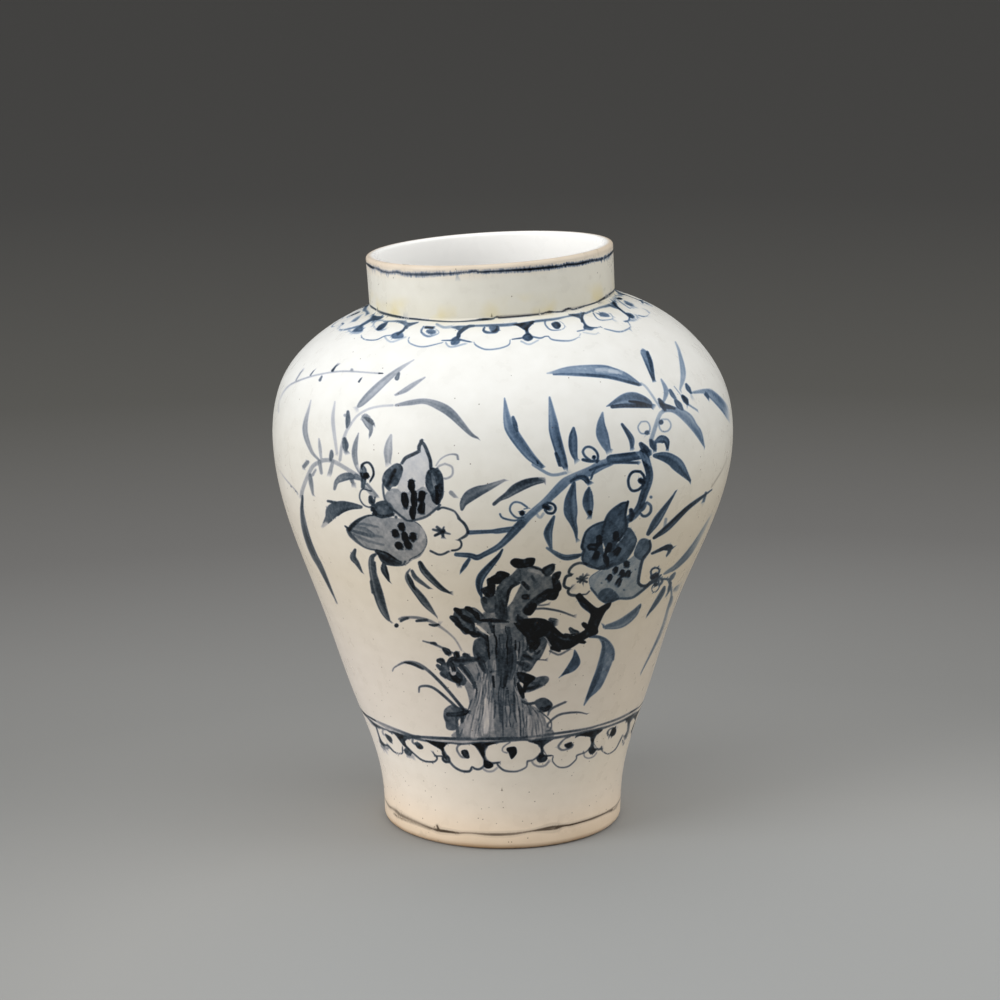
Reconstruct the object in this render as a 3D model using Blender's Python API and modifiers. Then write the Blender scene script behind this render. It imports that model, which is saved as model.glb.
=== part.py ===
"""A tall porcelain jar with a high shoulder, an upright neck and a turned foot.

The jar is made as a potter makes it: a foot with the floor, a lower body, an upper body and a neck,
each thrown by itself and luted to the next with a coil of slip. In the kiln the shoulder gave way a
little, so the neck stands off centre and leans. Sizes are in metres, +Z is up, and the jar stands
on z = 0 with its belly centred on the Z axis.
"""

import math

import bpy
import numpy as np

# Stations of the outer wall, from the neck's seat down to the foot: a radius each, and for the
# shoulder and the belly how far they lie below the seat, for the others a height
NECK_SEAT_RADIUS = 0.0804
NECK_SEAT_HEIGHT = 0.3518
SHOULDER_TOP_RADIUS = 0.0987
SHOULDER_TOP_DROP = 0.0078
SHOULDER_TURN_RADIUS = 0.1209
SHOULDER_TURN_DROP = 0.0218
SHOULDER_RADIUS = 0.1450
SHOULDER_DROP = 0.0518
BELLY_RADIUS = 0.1517
BELLY_DROP = 0.0948
LOWER_WALL_RADIUS = 0.1188
LOWER_WALL_HEIGHT = 0.1500
TAPER_RADIUS = 0.0994
TAPER_HEIGHT = 0.0900
WAIST_RADIUS = 0.0846
WAIST_HEIGHT = 0.0450
FOOT_RADIUS = 0.0806
FOOT_HEIGHT = 0.0200
FOOT_EDGE_RADIUS = 0.0800
FOOT_EDGE_ROUND = 0.0040

# Seams between the sections that are thrown apart
FOOT_SEAM_HEIGHT = 0.0410
BELLY_SEAM_HEIGHT = 0.2150

# Neck, from its seat to the lip, which is a little wider than the seat
NECK_HEIGHT = 0.0342
LIP_FLARE = 0.0004
NECK_WALL = 0.0064
LIP_ROUND = 0.0021

# Wall, floor and the recess turned under the foot
BODY_WALL = 0.0070
FLOOR_THICKNESS = 0.0100
FLOOR_CORNER_ROUND = 0.0160
FOOT_RING_WIDTH = 0.0120
RECESS_DEPTH = 0.0060
RECESS_SLOPE = 0.0015

# Luting: a layer of slip in each seam, wiped to a bead on the inside
JOINT_GAP = 0.0003
LUTING_THICKNESS = 0.0012
LUTING_BEAD_HEIGHT = 0.0090
LUTING_BEAD_DEPTH = 0.0022

# What throwing and firing did: the lower body sways to one side, and from SLUMP_DROP below the
# neck's seat upwards the clay tilts and slides until it reaches the seat, with the rigid neck on it
LOWER_SWAY = -0.0027
SLUMP_DROP = 0.0688
NECK_TILT = math.radians(3.3)
NECK_SHIFT = -0.0069

# Fineness of the solids
STEPS_AROUND = 60
WALL_STEP = 0.0130
ROUND_STEPS = 3
SPLINE_STEPS = 24

# Seen colours, as linear values
GLAZED_WHITE = (0.76, 0.74, 0.68, 1.0)
WARM_WHITE = (0.74, 0.66, 0.55, 1.0)
BARE_FOOT = (0.66, 0.52, 0.40, 1.0)
SLIP_GREY = (0.58, 0.54, 0.48, 1.0)

SEAM_HEIGHT = LUTING_THICKNESS + 2 * JOINT_GAP
BELLY_HEIGHT = NECK_SEAT_HEIGHT - BELLY_DROP
SLUMP_START = NECK_SEAT_HEIGHT - SLUMP_DROP
JAR_HEIGHT = NECK_SEAT_HEIGHT + NECK_HEIGHT
LIP_RADIUS = NECK_SEAT_RADIUS + LIP_FLARE


def spline(stations, steps):
    """A natural cubic spline through the stations, as points from the first to the last."""
    stations = np.array(stations)
    spans = np.linalg.norm(np.diff(stations, axis=0), axis=1)
    count = len(stations)
    matrix = np.eye(count)
    bends = np.zeros_like(stations)
    slopes = np.diff(stations, axis=0) / spans[:, None]
    for i in range(1, count - 1):
        matrix[i, i - 1 : i + 2] = spans[i - 1], 2 * (spans[i - 1] + spans[i]), spans[i]
        bends[i] = 6 * (slopes[i] - slopes[i - 1])
    curvature = np.linalg.solve(matrix, bends)
    points = []
    for i, span in enumerate(spans):
        for t in np.arange(steps) / steps:
            near = (1 - t) * stations[i] + ((1 - t) ** 3 - (1 - t)) * curvature[i] * span**2 / 6
            far = t * stations[i + 1] + (t**3 - t) * curvature[i + 1] * span**2 / 6
            points.append(near + far)
    return np.array(points + [stations[-1]])


def inset(line, thickness):
    """The line moved into the clay, square to itself, from a line that runs down the outside."""
    run = np.gradient(line, axis=0)
    run /= np.linalg.norm(run, axis=1)[:, None]
    return line + thickness * np.column_stack((run[:, 1], -run[:, 0]))


def radius_at(line, height):
    return float(np.interp(height, line[::-1, 1], line[::-1, 0]))


def stretch(line, top, bottom):
    """The part of a line between two heights, as evenly spaced points from the top down."""
    inner = line[(line[:, 1] < top) & (line[:, 1] > bottom)]
    ends = [(radius_at(line, top), top)], [(radius_at(line, bottom), bottom)]
    points = np.vstack((ends[0], inner, ends[1]))
    along = np.append(0, np.cumsum(np.linalg.norm(np.diff(points, axis=0), axis=1)))
    places = np.linspace(0, along[-1], max(2, math.ceil(along[-1] / WALL_STEP) + 1))
    radii, heights = (np.interp(places, along, points[:, axis]) for axis in (0, 1))
    return list(zip(radii, heights))


def arc(centre, radius, start, end):
    """Points on a round corner, from one angle to another in degrees."""
    angles = np.radians(np.linspace(start, end, ROUND_STEPS + 1))
    return [(centre[0] + radius * math.cos(a), centre[1] + radius * math.sin(a)) for a in angles]


OUTER = spline(
    [
        (NECK_SEAT_RADIUS, NECK_SEAT_HEIGHT),
        (SHOULDER_TOP_RADIUS, NECK_SEAT_HEIGHT - SHOULDER_TOP_DROP),
        (SHOULDER_TURN_RADIUS, NECK_SEAT_HEIGHT - SHOULDER_TURN_DROP),
        (SHOULDER_RADIUS, NECK_SEAT_HEIGHT - SHOULDER_DROP),
        (BELLY_RADIUS, BELLY_HEIGHT),
        (LOWER_WALL_RADIUS, LOWER_WALL_HEIGHT),
        (TAPER_RADIUS, TAPER_HEIGHT),
        (WAIST_RADIUS, WAIST_HEIGHT),
        (FOOT_RADIUS, FOOT_HEIGHT),
        (FOOT_EDGE_RADIUS, FOOT_EDGE_ROUND),
    ],
    SPLINE_STEPS,
)
INNER = inset(OUTER, BODY_WALL)
MOUTH_RADIUS = NECK_SEAT_RADIUS - NECK_WALL


def smooth_step(share):
    share = min(1.0, max(0.0, share))
    return share * share * (3 - 2 * share)


def slump(point):
    """Where a point of the true turned jar lies on the jar as it came out of the kiln."""
    x, y, z = point
    if z < LOWER_WALL_HEIGHT:
        sway = LOWER_SWAY * smooth_step(z / LOWER_WALL_HEIGHT)
    else:
        fade = (z - LOWER_WALL_HEIGHT) / (BELLY_HEIGHT - LOWER_WALL_HEIGHT)
        sway = LOWER_SWAY * (1 - smooth_step(fade))
    share = smooth_step((z - SLUMP_START) / (NECK_SEAT_HEIGHT - SLUMP_START))
    tilt = share * NECK_TILT
    above_seat = z - NECK_SEAT_HEIGHT
    return (
        x * math.cos(tilt) - above_seat * math.sin(tilt) + sway + share * NECK_SHIFT,
        y,
        NECK_SEAT_HEIGHT + above_seat * math.cos(tilt) + x * math.sin(tilt),
    )


def material(name, colour, roughness):
    made = bpy.data.materials.new(name)
    made.use_nodes = True
    made.diffuse_color = colour
    shader = made.node_tree.nodes["Principled BSDF"]
    shader.inputs["Base Color"].default_value = colour
    shader.inputs["Roughness"].default_value = roughness
    shader.inputs["Metallic"].default_value = 0.0
    return made


def turned(name, profile, closed, colour, roughness):
    """A piece turned on the wheel: its profile swept round the axis, then slumped."""
    guide_mesh = bpy.data.meshes.new(name + "_profile")
    edges = [(i, i + 1) for i in range(len(profile) - 1)]
    if closed:
        edges.append((len(profile) - 1, 0))
    guide_mesh.from_pydata([(radius, 0.0, height) for radius, height in profile], edges, [])
    guide = bpy.data.objects.new(name + "_profile", guide_mesh)
    collection.objects.link(guide)
    screw = guide.modifiers.new("turn", "SCREW")
    screw.axis = "Z"
    screw.angle = 2 * math.pi
    screw.steps = STEPS_AROUND
    screw.render_steps = STEPS_AROUND
    screw.use_merge_vertices = True
    screw.merge_threshold = 0.00005

    evaluated = guide.evaluated_get(bpy.context.evaluated_depsgraph_get())
    mesh = bpy.data.meshes.new_from_object(evaluated)
    bpy.data.objects.remove(guide)
    bpy.data.meshes.remove(guide_mesh)
    mesh.name = name
    for vertex in mesh.vertices:
        vertex.co = slump(vertex.co)
    mesh.shade_smooth()
    mesh.set_sharp_from_angle(angle=math.radians(35))
    mesh.materials.append(material(name, colour, roughness))
    piece = bpy.data.objects.new(name, mesh)
    collection.objects.link(piece)
    return piece


def foot():
    """The floor and the wall of the foot, with the recess turned out from below."""
    floor_height = RECESS_DEPTH + FLOOR_THICKNESS
    corner_height = floor_height + FLOOR_CORNER_ROUND
    corner_centre = (radius_at(INNER, corner_height) - FLOOR_CORNER_ROUND, corner_height)
    inside = stretch(INNER, FOOT_SEAM_HEIGHT, corner_height)
    floor = [(0.0, floor_height)] + arc(corner_centre, FLOOR_CORNER_ROUND, -90, 0)
    outside = stretch(OUTER, FOOT_SEAM_HEIGHT, FOOT_EDGE_ROUND)
    edge_centre = (FOOT_EDGE_RADIUS - FOOT_EDGE_ROUND, FOOT_EDGE_ROUND)
    edge = arc(edge_centre, FOOT_EDGE_ROUND, 0, -90)
    ring_inside = edge_centre[0] - FOOT_RING_WIDTH
    recess = [
        (ring_inside, 0.0),
        (ring_inside - RECESS_SLOPE, RECESS_DEPTH),
        (0.0, RECESS_DEPTH),
    ]
    profile = floor + inside[-2::-1] + outside + edge[1:] + recess
    return turned("foot", profile, False, BARE_FOOT, 0.5)


def lower_body():
    """The lower wall, from the seam on the foot to the seam under the belly."""
    bottom = FOOT_SEAM_HEIGHT + SEAM_HEIGHT
    outside = stretch(OUTER, BELLY_SEAM_HEIGHT, bottom)
    inside = stretch(INNER, BELLY_SEAM_HEIGHT, bottom)
    return turned("lower_body", outside + inside[::-1], True, WARM_WHITE, 0.25)


def upper_body():
    """The upper wall with the shoulder, closed in to the hole under the neck."""
    bottom = BELLY_SEAM_HEIGHT + SEAM_HEIGHT
    outside = stretch(OUTER, NECK_SEAT_HEIGHT, bottom)
    under_seat = float(INNER[0, 1])
    inside = stretch(INNER, under_seat, bottom)
    hole = [(MOUTH_RADIUS, under_seat), (MOUTH_RADIUS, NECK_SEAT_HEIGHT)]
    return turned("upper_body", outside + inside[::-1] + hole, True, GLAZED_WHITE, 0.22)


def neck():
    """The upright neck, a plain collar with a rounded lip."""
    bottom = NECK_SEAT_HEIGHT + SEAM_HEIGHT
    lip_inside = LIP_RADIUS - NECK_WALL
    level = JAR_HEIGHT - LIP_ROUND
    outer_lip = arc((LIP_RADIUS - LIP_ROUND, level), LIP_ROUND, 90, 0)
    inner_lip = arc((lip_inside + LIP_ROUND, level), LIP_ROUND, 180, 90)
    profile = outer_lip + [(NECK_SEAT_RADIUS, bottom), (MOUTH_RADIUS, bottom)] + inner_lip
    return turned("neck", profile, True, GLAZED_WHITE, 0.25)


def luting(name, seam, outside, inside):
    """The slip in one seam: a thin layer between the two sections and a bead wiped on the inside."""
    low = seam + JOINT_GAP
    high = low + LUTING_THICKNESS
    middle = (low + high) / 2
    top = middle + LUTING_BEAD_HEIGHT / 2
    bottom = middle - LUTING_BEAD_HEIGHT / 2
    face = inside(middle) - JOINT_GAP - LUTING_BEAD_DEPTH
    profile = [
        (outside(high), high),
        (outside(low), low),
        (inside(low) - JOINT_GAP, low),
        (inside(bottom) - JOINT_GAP, bottom),
        (face, middle - LUTING_BEAD_HEIGHT / 5),
        (face, middle + LUTING_BEAD_HEIGHT / 5),
        (inside(top) - JOINT_GAP, top),
        (inside(high) - JOINT_GAP, high),
    ]
    return turned(name, profile, True, SLIP_GREY, 0.6)


def build():
    foot()
    luting(
        "foot_luting",
        FOOT_SEAM_HEIGHT,
        lambda height: radius_at(OUTER, height),
        lambda height: radius_at(INNER, height),
    )
    lower_body()
    luting(
        "belly_luting",
        BELLY_SEAM_HEIGHT,
        lambda height: radius_at(OUTER, height),
        lambda height: radius_at(INNER, height),
    )
    upper_body()
    luting(
        "neck_luting",
        NECK_SEAT_HEIGHT,
        lambda height: NECK_SEAT_RADIUS,
        lambda height: MOUTH_RADIUS,
    )
    neck()


for old in list(bpy.data.objects):
    bpy.data.objects.remove(old)
collection = bpy.data.collections.new("porcelain_jar")
bpy.context.scene.collection.children.link(collection)
build()
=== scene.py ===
# %% [markdown]
# # A tall porcelain jar, painted in cobalt under the glaze
#
# The real jar was thrown on a wheel in four sections, luted together with slip, painted with a
# brush, dipped in glaze and fired until its shoulder gave way a little. The scene follows the same
# order: the turned walls first, then the brushwork, then the glaze, then the studio around it.
# All lengths are in metres, +Z is up, and the jar stands on z = 0 with its painted front facing -Y.

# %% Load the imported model
import math

import bpy
import numpy as np
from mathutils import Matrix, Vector, geometry, kdtree


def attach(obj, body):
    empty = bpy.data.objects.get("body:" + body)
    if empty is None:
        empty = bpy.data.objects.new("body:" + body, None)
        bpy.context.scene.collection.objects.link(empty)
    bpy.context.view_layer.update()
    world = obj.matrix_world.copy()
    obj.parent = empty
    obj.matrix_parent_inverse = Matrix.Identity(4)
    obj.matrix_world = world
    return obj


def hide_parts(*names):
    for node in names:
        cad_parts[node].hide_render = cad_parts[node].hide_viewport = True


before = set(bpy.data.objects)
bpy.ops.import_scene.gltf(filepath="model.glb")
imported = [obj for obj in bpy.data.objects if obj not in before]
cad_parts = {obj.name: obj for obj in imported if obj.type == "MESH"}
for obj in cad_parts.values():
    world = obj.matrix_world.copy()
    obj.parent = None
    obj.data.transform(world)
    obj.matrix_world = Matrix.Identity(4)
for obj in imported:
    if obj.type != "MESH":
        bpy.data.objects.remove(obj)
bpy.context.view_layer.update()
print("sections of the jar:", ", ".join(sorted(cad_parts)))

# %% [markdown]
# ## The wall's outline
#
# A wheel-thrown wall is one smooth curve turned round an axis. It could be drawn with Blender's curve
# handles, but a natural cubic spline through a few stations needs no handles and gives the same curve
# on every run. Each station is a radius and a height, from the foot's edge up to the seat of the neck.
# They were taken from a curve that a program fitted to the jar's edges in the photograph.

# %% Stations of the wall
WALL_STATIONS = [
    (0.0800, 0.0040),
    (0.0806, 0.0200),
    (0.0846, 0.0450),
    (0.0994, 0.0900),
    (0.1188, 0.1500),
    (0.1517, 0.2570),
    (0.1450, 0.3000),
    (0.1209, 0.3300),
    (0.0987, 0.3440),
    (0.0804, 0.3518),
]
FOOT_SEAM_HEIGHT = 0.0419
BELLY_SEAM_HEIGHT = 0.2159
NECK_SEAT_RADIUS, NECK_SEAT_HEIGHT = WALL_STATIONS[-1]
NECK_SEAM_HEIGHT = 0.3527
JAR_HEIGHT = 0.3860
LIP_RADIUS = 0.0808
LIP_ROUND = 0.0021
NECK_WALL = 0.0064
BODY_WALL = 0.0070


def spline(stations, steps):
    """A natural cubic spline through the stations, as rows of radius and height."""
    stations = np.array(stations)
    spans = np.linalg.norm(np.diff(stations, axis=0), axis=1)
    slopes = np.diff(stations, axis=0) / spans[:, None]
    matrix = np.eye(len(stations))
    bends = np.zeros_like(stations)
    for i in range(1, len(stations) - 1):
        matrix[i, i - 1 : i + 2] = spans[i - 1], 2 * (spans[i - 1] + spans[i]), spans[i]
        bends[i] = 6 * (slopes[i] - slopes[i - 1])
    curvature = np.linalg.solve(matrix, bends)
    rows = []
    for i, span in enumerate(spans):
        for t in np.arange(steps) / steps:
            near = (1 - t) * stations[i] + ((1 - t) ** 3 - (1 - t)) * curvature[i] * span**2 / 6
            far = t * stations[i + 1] + (t**3 - t) * curvature[i + 1] * span**2 / 6
            rows.append(near + far)
    return np.array(rows + [stations[-1]])


def between(line, low, high, step):
    """The part of a rising line between two heights, as evenly spaced rows of radius and height."""
    inner = line[(line[:, 1] > low) & (line[:, 1] < high)]
    first, last = ([[np.interp(height, line[:, 1], line[:, 0]), height]] for height in (low, high))
    rows = np.vstack((first, inner, last))
    along = np.append(0, np.cumsum(np.linalg.norm(np.diff(rows, axis=0), axis=1)))
    places = np.linspace(0, along[-1], max(2, math.ceil(along[-1] / step) + 1))
    return np.column_stack([np.interp(places, along, rows[:, axis]) for axis in (0, 1)])


def corner(centre, radius, start, end, steps=5):
    """A rounded corner, between two angles in degrees."""
    angles = np.radians(np.linspace(start, end, steps + 1))
    return np.column_stack((centre[0] + radius * np.cos(angles), centre[1] + radius * np.sin(angles)))


STEPS_BETWEEN_STATIONS = 40
OUTSIDE = spline(WALL_STATIONS, STEPS_BETWEEN_STATIONS)
run = np.gradient(OUTSIDE, axis=0)
run /= np.linalg.norm(run, axis=1)[:, None]
INSIDE = OUTSIDE + BODY_WALL * np.column_stack((-run[:, 1], run[:, 0]))
BELLY_RADIUS = OUTSIDE[:, 0].max()
print(f"wall: {len(OUTSIDE)} rows, widest radius {BELLY_RADIUS * 1000:.1f} mm")

# %% [markdown]
# ## What the kiln did
#
# The real shoulder sank in the fire, so the neck stands off centre and leans to the left, and the
# lower body sways. It could be done with a bend modifier, but a small function of position moves the
# wall, its inside and the painting's lines alike. Below the shoulder it only shifts, above it tilts.

# %% Slump
LOWER_SWAY = -0.0027
SWAY_TURN_HEIGHT = 0.1500
SWAY_END_HEIGHT = 0.2570
SLUMP_START = 0.2830
NECK_TILT = math.radians(3.3)
NECK_SHIFT = -0.0069


def smooth(share):
    """A share from 0 to 1 that starts and ends gently."""
    share = np.clip(share, 0, 1)
    return share * share * (3 - 2 * share)


def slump(points):
    """Where points of the true turned jar lie on the jar as it came out of the kiln."""
    x, y, z = np.moveaxis(np.asarray(points, float), -1, 0)
    rising = smooth(z / SWAY_TURN_HEIGHT)
    fading = 1 - smooth((z - SWAY_TURN_HEIGHT) / (SWAY_END_HEIGHT - SWAY_TURN_HEIGHT))
    sway = LOWER_SWAY * np.where(z < SWAY_TURN_HEIGHT, rising, fading)
    share = smooth((z - SLUMP_START) / (NECK_SEAT_HEIGHT - SLUMP_START))
    tilt = share * NECK_TILT
    above = z - NECK_SEAT_HEIGHT
    moved_x = x * np.cos(tilt) - above * np.sin(tilt) + sway + share * NECK_SHIFT
    moved_z = NECK_SEAT_HEIGHT + above * np.cos(tilt) + x * np.sin(tilt)
    return np.stack((moved_x, y, moved_z), axis=-1)


print("the neck's seat moves to", np.round(slump([[0, 0, NECK_SEAT_HEIGHT]])[0] * 1000, 1), "mm")

# %% [markdown]
# ## The skin as a flat sheet
#
# A painter thinks of the wall as a sheet wrapped round the jar. One number goes round it, the angle
# from the front, and one goes up it, the length along the wall from the foot's edge. Everything on the
# surface, from mesh points to brush strokes, is placed by these two.

# %% The sheet
STEP_UP = 0.0004
STEP_ROUND = STEP_UP / 0.1
WALL_LINE = np.vstack((OUTSIDE, [[LIP_RADIUS, JAR_HEIGHT - LIP_ROUND]]))
WALL_LENGTH = np.append(0, np.cumsum(np.linalg.norm(np.diff(WALL_LINE, axis=0), axis=1)))


def length_at(height):
    """How far up the sheet a height of the unslumped wall lies."""
    return float(np.interp(height, WALL_LINE[:, 1], WALL_LENGTH))


def on_wall(angle, length):
    """The point of the sheet on the fired jar."""
    radius = np.interp(length, WALL_LENGTH, WALL_LINE[:, 0])
    height = np.interp(length, WALL_LENGTH, WALL_LINE[:, 1])
    return slump(np.stack((radius * np.sin(angle), -radius * np.cos(angle), height), axis=-1))


def wall_normal(angle, length):
    """The outward direction of the wall, from two short steps on it."""
    across = on_wall(angle + STEP_ROUND, length) - on_wall(angle - STEP_ROUND, length)
    upward = on_wall(angle, length + STEP_UP) - on_wall(angle, length - STEP_UP)
    normal = np.cross(across, upward)
    return normal / np.linalg.norm(normal, axis=-1, keepdims=True)


SHEET_TOP = WALL_LENGTH[-1]
print(f"the sheet is {SHEET_TOP * 1000:.0f} mm tall and {2 * math.pi * BELLY_RADIUS * 1000:.0f} mm round the belly")

# %% [markdown]
# ## The camera
#
# The camera is taken to be two metres away with a long lens, a little above the jar. A program fitted
# the lens and the height to the ellipses of the lip and the foot and to the jar's outline. The camera
# comes early, because the brush strokes are placed by where they are in the photograph, in its own
# 1000 by 1000 pixels.

# %% Camera
PHOTO_SIZE = 1000
FOCAL_PIXELS = 3007.5
CAMERA_DISTANCE = 2.0
CAMERA_ELEVATION = math.radians(12.47)
CAMERA_TARGET = np.array([-0.0018, 0.0, 0.2172])
SENSOR_WIDTH = 36.0

LOOK = np.array([0, math.cos(CAMERA_ELEVATION), -math.sin(CAMERA_ELEVATION)])
UPWARD = np.array([0, math.sin(CAMERA_ELEVATION), math.cos(CAMERA_ELEVATION)])
CAMERA_PLACE = CAMERA_TARGET - CAMERA_DISTANCE * LOOK

camera_data = bpy.data.cameras.new("camera")
camera_data.sensor_width = SENSOR_WIDTH
camera_data.lens = FOCAL_PIXELS / PHOTO_SIZE * SENSOR_WIDTH
camera = bpy.data.objects.new("camera", camera_data)
camera.location = CAMERA_PLACE
camera.rotation_euler = (math.pi / 2 - CAMERA_ELEVATION, 0, 0)
bpy.context.collection.objects.link(camera)
bpy.context.scene.camera = camera


def in_photo(points):
    """Where points of the scene appear in the photograph, in its pixels."""
    offset = points - CAMERA_PLACE
    depth = offset @ LOOK
    middle = PHOTO_SIZE / 2
    return np.stack(
        (middle + FOCAL_PIXELS * offset[..., 0] / depth, middle - FOCAL_PIXELS * (offset @ UPWARD) / depth),
        axis=-1,
    )


print(f"lens {camera_data.lens:.1f} mm, the foot's front edge at pixel", in_photo(on_wall(0, 0.0)).round(1))

# %% [markdown]
# ## From the photograph back to the sheet
#
# To lay a brush stroke on the jar, each of its pixels is traced back to the sheet. There is no simple
# formula for that on a slumped wall, so a fine net of sheet points is projected once, the nearest one
# is looked up, and a few Newton steps move it onto the pixel exactly.

# %% Tracing pixels
VIEW_EDGE = math.radians(86)
NET_ROUND, NET_UP = 173, 230
LEAST_FACING = 0.03
NEWTON_STEPS = 4
PROBE_ROUND, PROBE_UP = 0.0005, 0.00005
MOST_ROUND, MOST_UP = 0.03, 0.004
LEAST_AREA = 1e3
PIXEL_MISS = 0.3
net_angles, net_lengths = np.meshgrid(
    np.linspace(-VIEW_EDGE, VIEW_EDGE, NET_ROUND), np.linspace(0, SHEET_TOP, NET_UP)
)
net_angles, net_lengths = net_angles.ravel(), net_lengths.ravel()


def facing(angles, lengths):
    """How squarely the wall faces the camera: 1 is head-on, 0 is its edge."""
    towards = CAMERA_PLACE - on_wall(angles, lengths)
    towards /= np.linalg.norm(towards, axis=-1, keepdims=True)
    return (towards * wall_normal(angles, lengths)).sum(axis=-1)


seen = facing(net_angles, net_lengths) > LEAST_FACING
net_angles, net_lengths = net_angles[seen], net_lengths[seen]
net_pixels = in_photo(on_wall(net_angles, net_lengths))
net = kdtree.KDTree(len(net_pixels))
for index, pixel in enumerate(net_pixels):
    net.insert((pixel[0], pixel[1], 0), index)
net.balance()


def trace(pixels):
    """The sheet angles and lengths of pixels, and whether each lies on the jar."""
    nearest = [net.find((x, y, 0))[1] for x, y in pixels]
    angles, lengths = net_angles[nearest].copy(), net_lengths[nearest].copy()
    for _ in range(NEWTON_STEPS):
        here = in_photo(on_wall(angles, lengths))
        by_turn = (in_photo(on_wall(angles + PROBE_ROUND, lengths)) - here) / PROBE_ROUND
        by_rise = (in_photo(on_wall(angles, lengths + PROBE_UP)) - here) / PROBE_UP
        miss = pixels - here
        area = by_turn[:, 0] * by_rise[:, 1] - by_turn[:, 1] * by_rise[:, 0]
        area = np.where(np.abs(area) < LEAST_AREA, LEAST_AREA, area)
        more_turn = (miss[:, 0] * by_rise[:, 1] - miss[:, 1] * by_rise[:, 0]) / area
        more_rise = (by_turn[:, 0] * miss[:, 1] - by_turn[:, 1] * miss[:, 0]) / area
        angles = np.clip(angles + np.clip(more_turn, -MOST_ROUND, MOST_ROUND), -VIEW_EDGE, VIEW_EDGE)
        lengths = np.clip(lengths + np.clip(more_rise, -MOST_UP, MOST_UP), 0, SHEET_TOP)
    left = np.linalg.norm(in_photo(on_wall(angles, lengths)) - pixels, axis=1)
    return angles, lengths, left < PIXEL_MISS


angle, length, _ = trace(np.array([[500.0, 500.0]]))
print(f"the photograph's middle lies {math.degrees(angle[0]):.1f} degrees round, {length[0] * 1000:.0f} mm up")

# %% [markdown]
# ## Brush strokes
#
# A painter's stroke is a path with a changing width: the brush touches down, swells under pressure
# and lifts off to a point. It could be an image, but here each stroke is a short list of points with
# a width in photo pixels, and the wash inside it is worked out for every mesh point. Colour gathers at
# a stroke's edges and runs in streaks along it, because that is where the hairs leave it.
#
# The marks were first set on the photograph. A program that compared them with it then moved
# most of them by up to a few pixels and changed their widths and tones, and another took out points
# that the paths don't need. So the lists below are partly those programs' numbers.

# %% Stroke and wash
PIXEL = 0.000665
PATH_STEP = 1.5
THINNEST = 0.5
noise_of = np.random.default_rng(7)


def through(points, closed):
    """A smooth path through a mark's points, as evenly spaced rows."""
    points = np.array(points, float)
    if len(points) == 1:
        return points
    if closed:
        padded = np.vstack((points[-1:], points, points[:2]))
    else:
        padded = np.vstack((2 * points[:1] - points[1:2], points, 2 * points[-1:] - points[-2:-1]))
    rows = []
    for a, b, c, d in zip(padded, padded[1:], padded[2:], padded[3:]):
        count = max(1, round(np.linalg.norm((c - b)[:2]) / PATH_STEP))
        square, cube = 2 * a - 5 * b + 4 * c - d, 3 * b - a - 3 * c + d
        for t in np.arange(count) / count:
            rows.append(0.5 * (2 * b + (c - a) * t + square * t**2 + cube * t**3))
    if not closed:
        rows.append(points[-1])
    rows = np.array(rows)
    if rows.shape[1] > 2:
        rows[:, 2] = np.maximum(rows[:, 2], THINNEST)
    return rows


def stroke(tone, *points, ink="cobalt"):
    """A brush stroke: tone from 0, bare glaze, to 1, full cobalt, or a pair from start to end.

    Each point is x, y and width; one without a width keeps the width before it.
    """
    rows = [points[0]]
    for point in points[1:]:
        rows.append(point if len(point) == 3 else (*point, rows[-1][2]))
    start, end = tone if isinstance(tone, tuple) else (tone, tone)
    path = through(rows, False)
    return {"path": path, "tones": np.linspace(start, end, len(path)), "ink": ink, "seed": noise_of.uniform(0, 9)}


def wash(tone, *points, ink="cobalt"):
    """A patch filled with thin colour, given by its outline. A negative tone takes colour away."""
    return {"outline": through(points, True), "tone": tone, "ink": ink, "seed": noise_of.uniform(0, 9)}


print(f"one photo pixel is {PIXEL * 1000:.3f} mm on the jar's axis")

# %% [markdown]
# A mark's colour at a pixel follows from its distance to the path or the outline. Across an edge the
# colour fades over a pixel or so. Inside, a broad stroke is darker at its rims and streaked along its
# length, and a wash is cloudy. Every mark has a seed of its own, so no two dry alike.

# %% Colour of a mark
EDGE = 0.6
TINY = 1e-9
CLOUD, POOL, POOL_WIDTH = 0.16, 0.12, 1.5
RIM, STREAK, LEAN, WAVER = 0.15, 0.14, 0.12, 0.09


def nearest_on(path, pixels):
    """For each pixel, its distance from a path, the side it is on and how far along it is."""
    if len(path) == 1:
        gap = pixels - path[0, :2]
        return np.linalg.norm(gap, axis=1), np.ones(len(pixels)), np.zeros(len(pixels))
    start, span = path[:-1, :2], np.diff(path[:, :2], axis=0)
    squared = np.maximum((span**2).sum(axis=1), TINY)
    offset = pixels[:, None] - start[None]
    share = np.clip((offset * span).sum(axis=2) / squared, 0, 1)
    gap = offset - share[..., None] * span
    distance = np.linalg.norm(gap, axis=2)
    best = distance.argmin(axis=1)
    rows = np.arange(len(pixels))
    side = np.sign(span[best, 0] * gap[rows, best, 1] - span[best, 1] * gap[rows, best, 0])
    return distance[rows, best], side, best + share[rows, best]


def inside_outline(outline, pixels):
    """Which pixels lie inside a closed outline."""
    x, y = pixels[:, :1], pixels[:, 1:]
    ax, ay = outline[:, 0], outline[:, 1]
    bx, by = np.roll(ax, -1), np.roll(ay, -1)
    crossing = (ay > y) != (by > y)
    rise = np.where(by == ay, TINY, by - ay)
    return (crossing & (x < ax + (y - ay) * (bx - ax) / rise)).sum(axis=1) % 2 == 1


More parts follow.
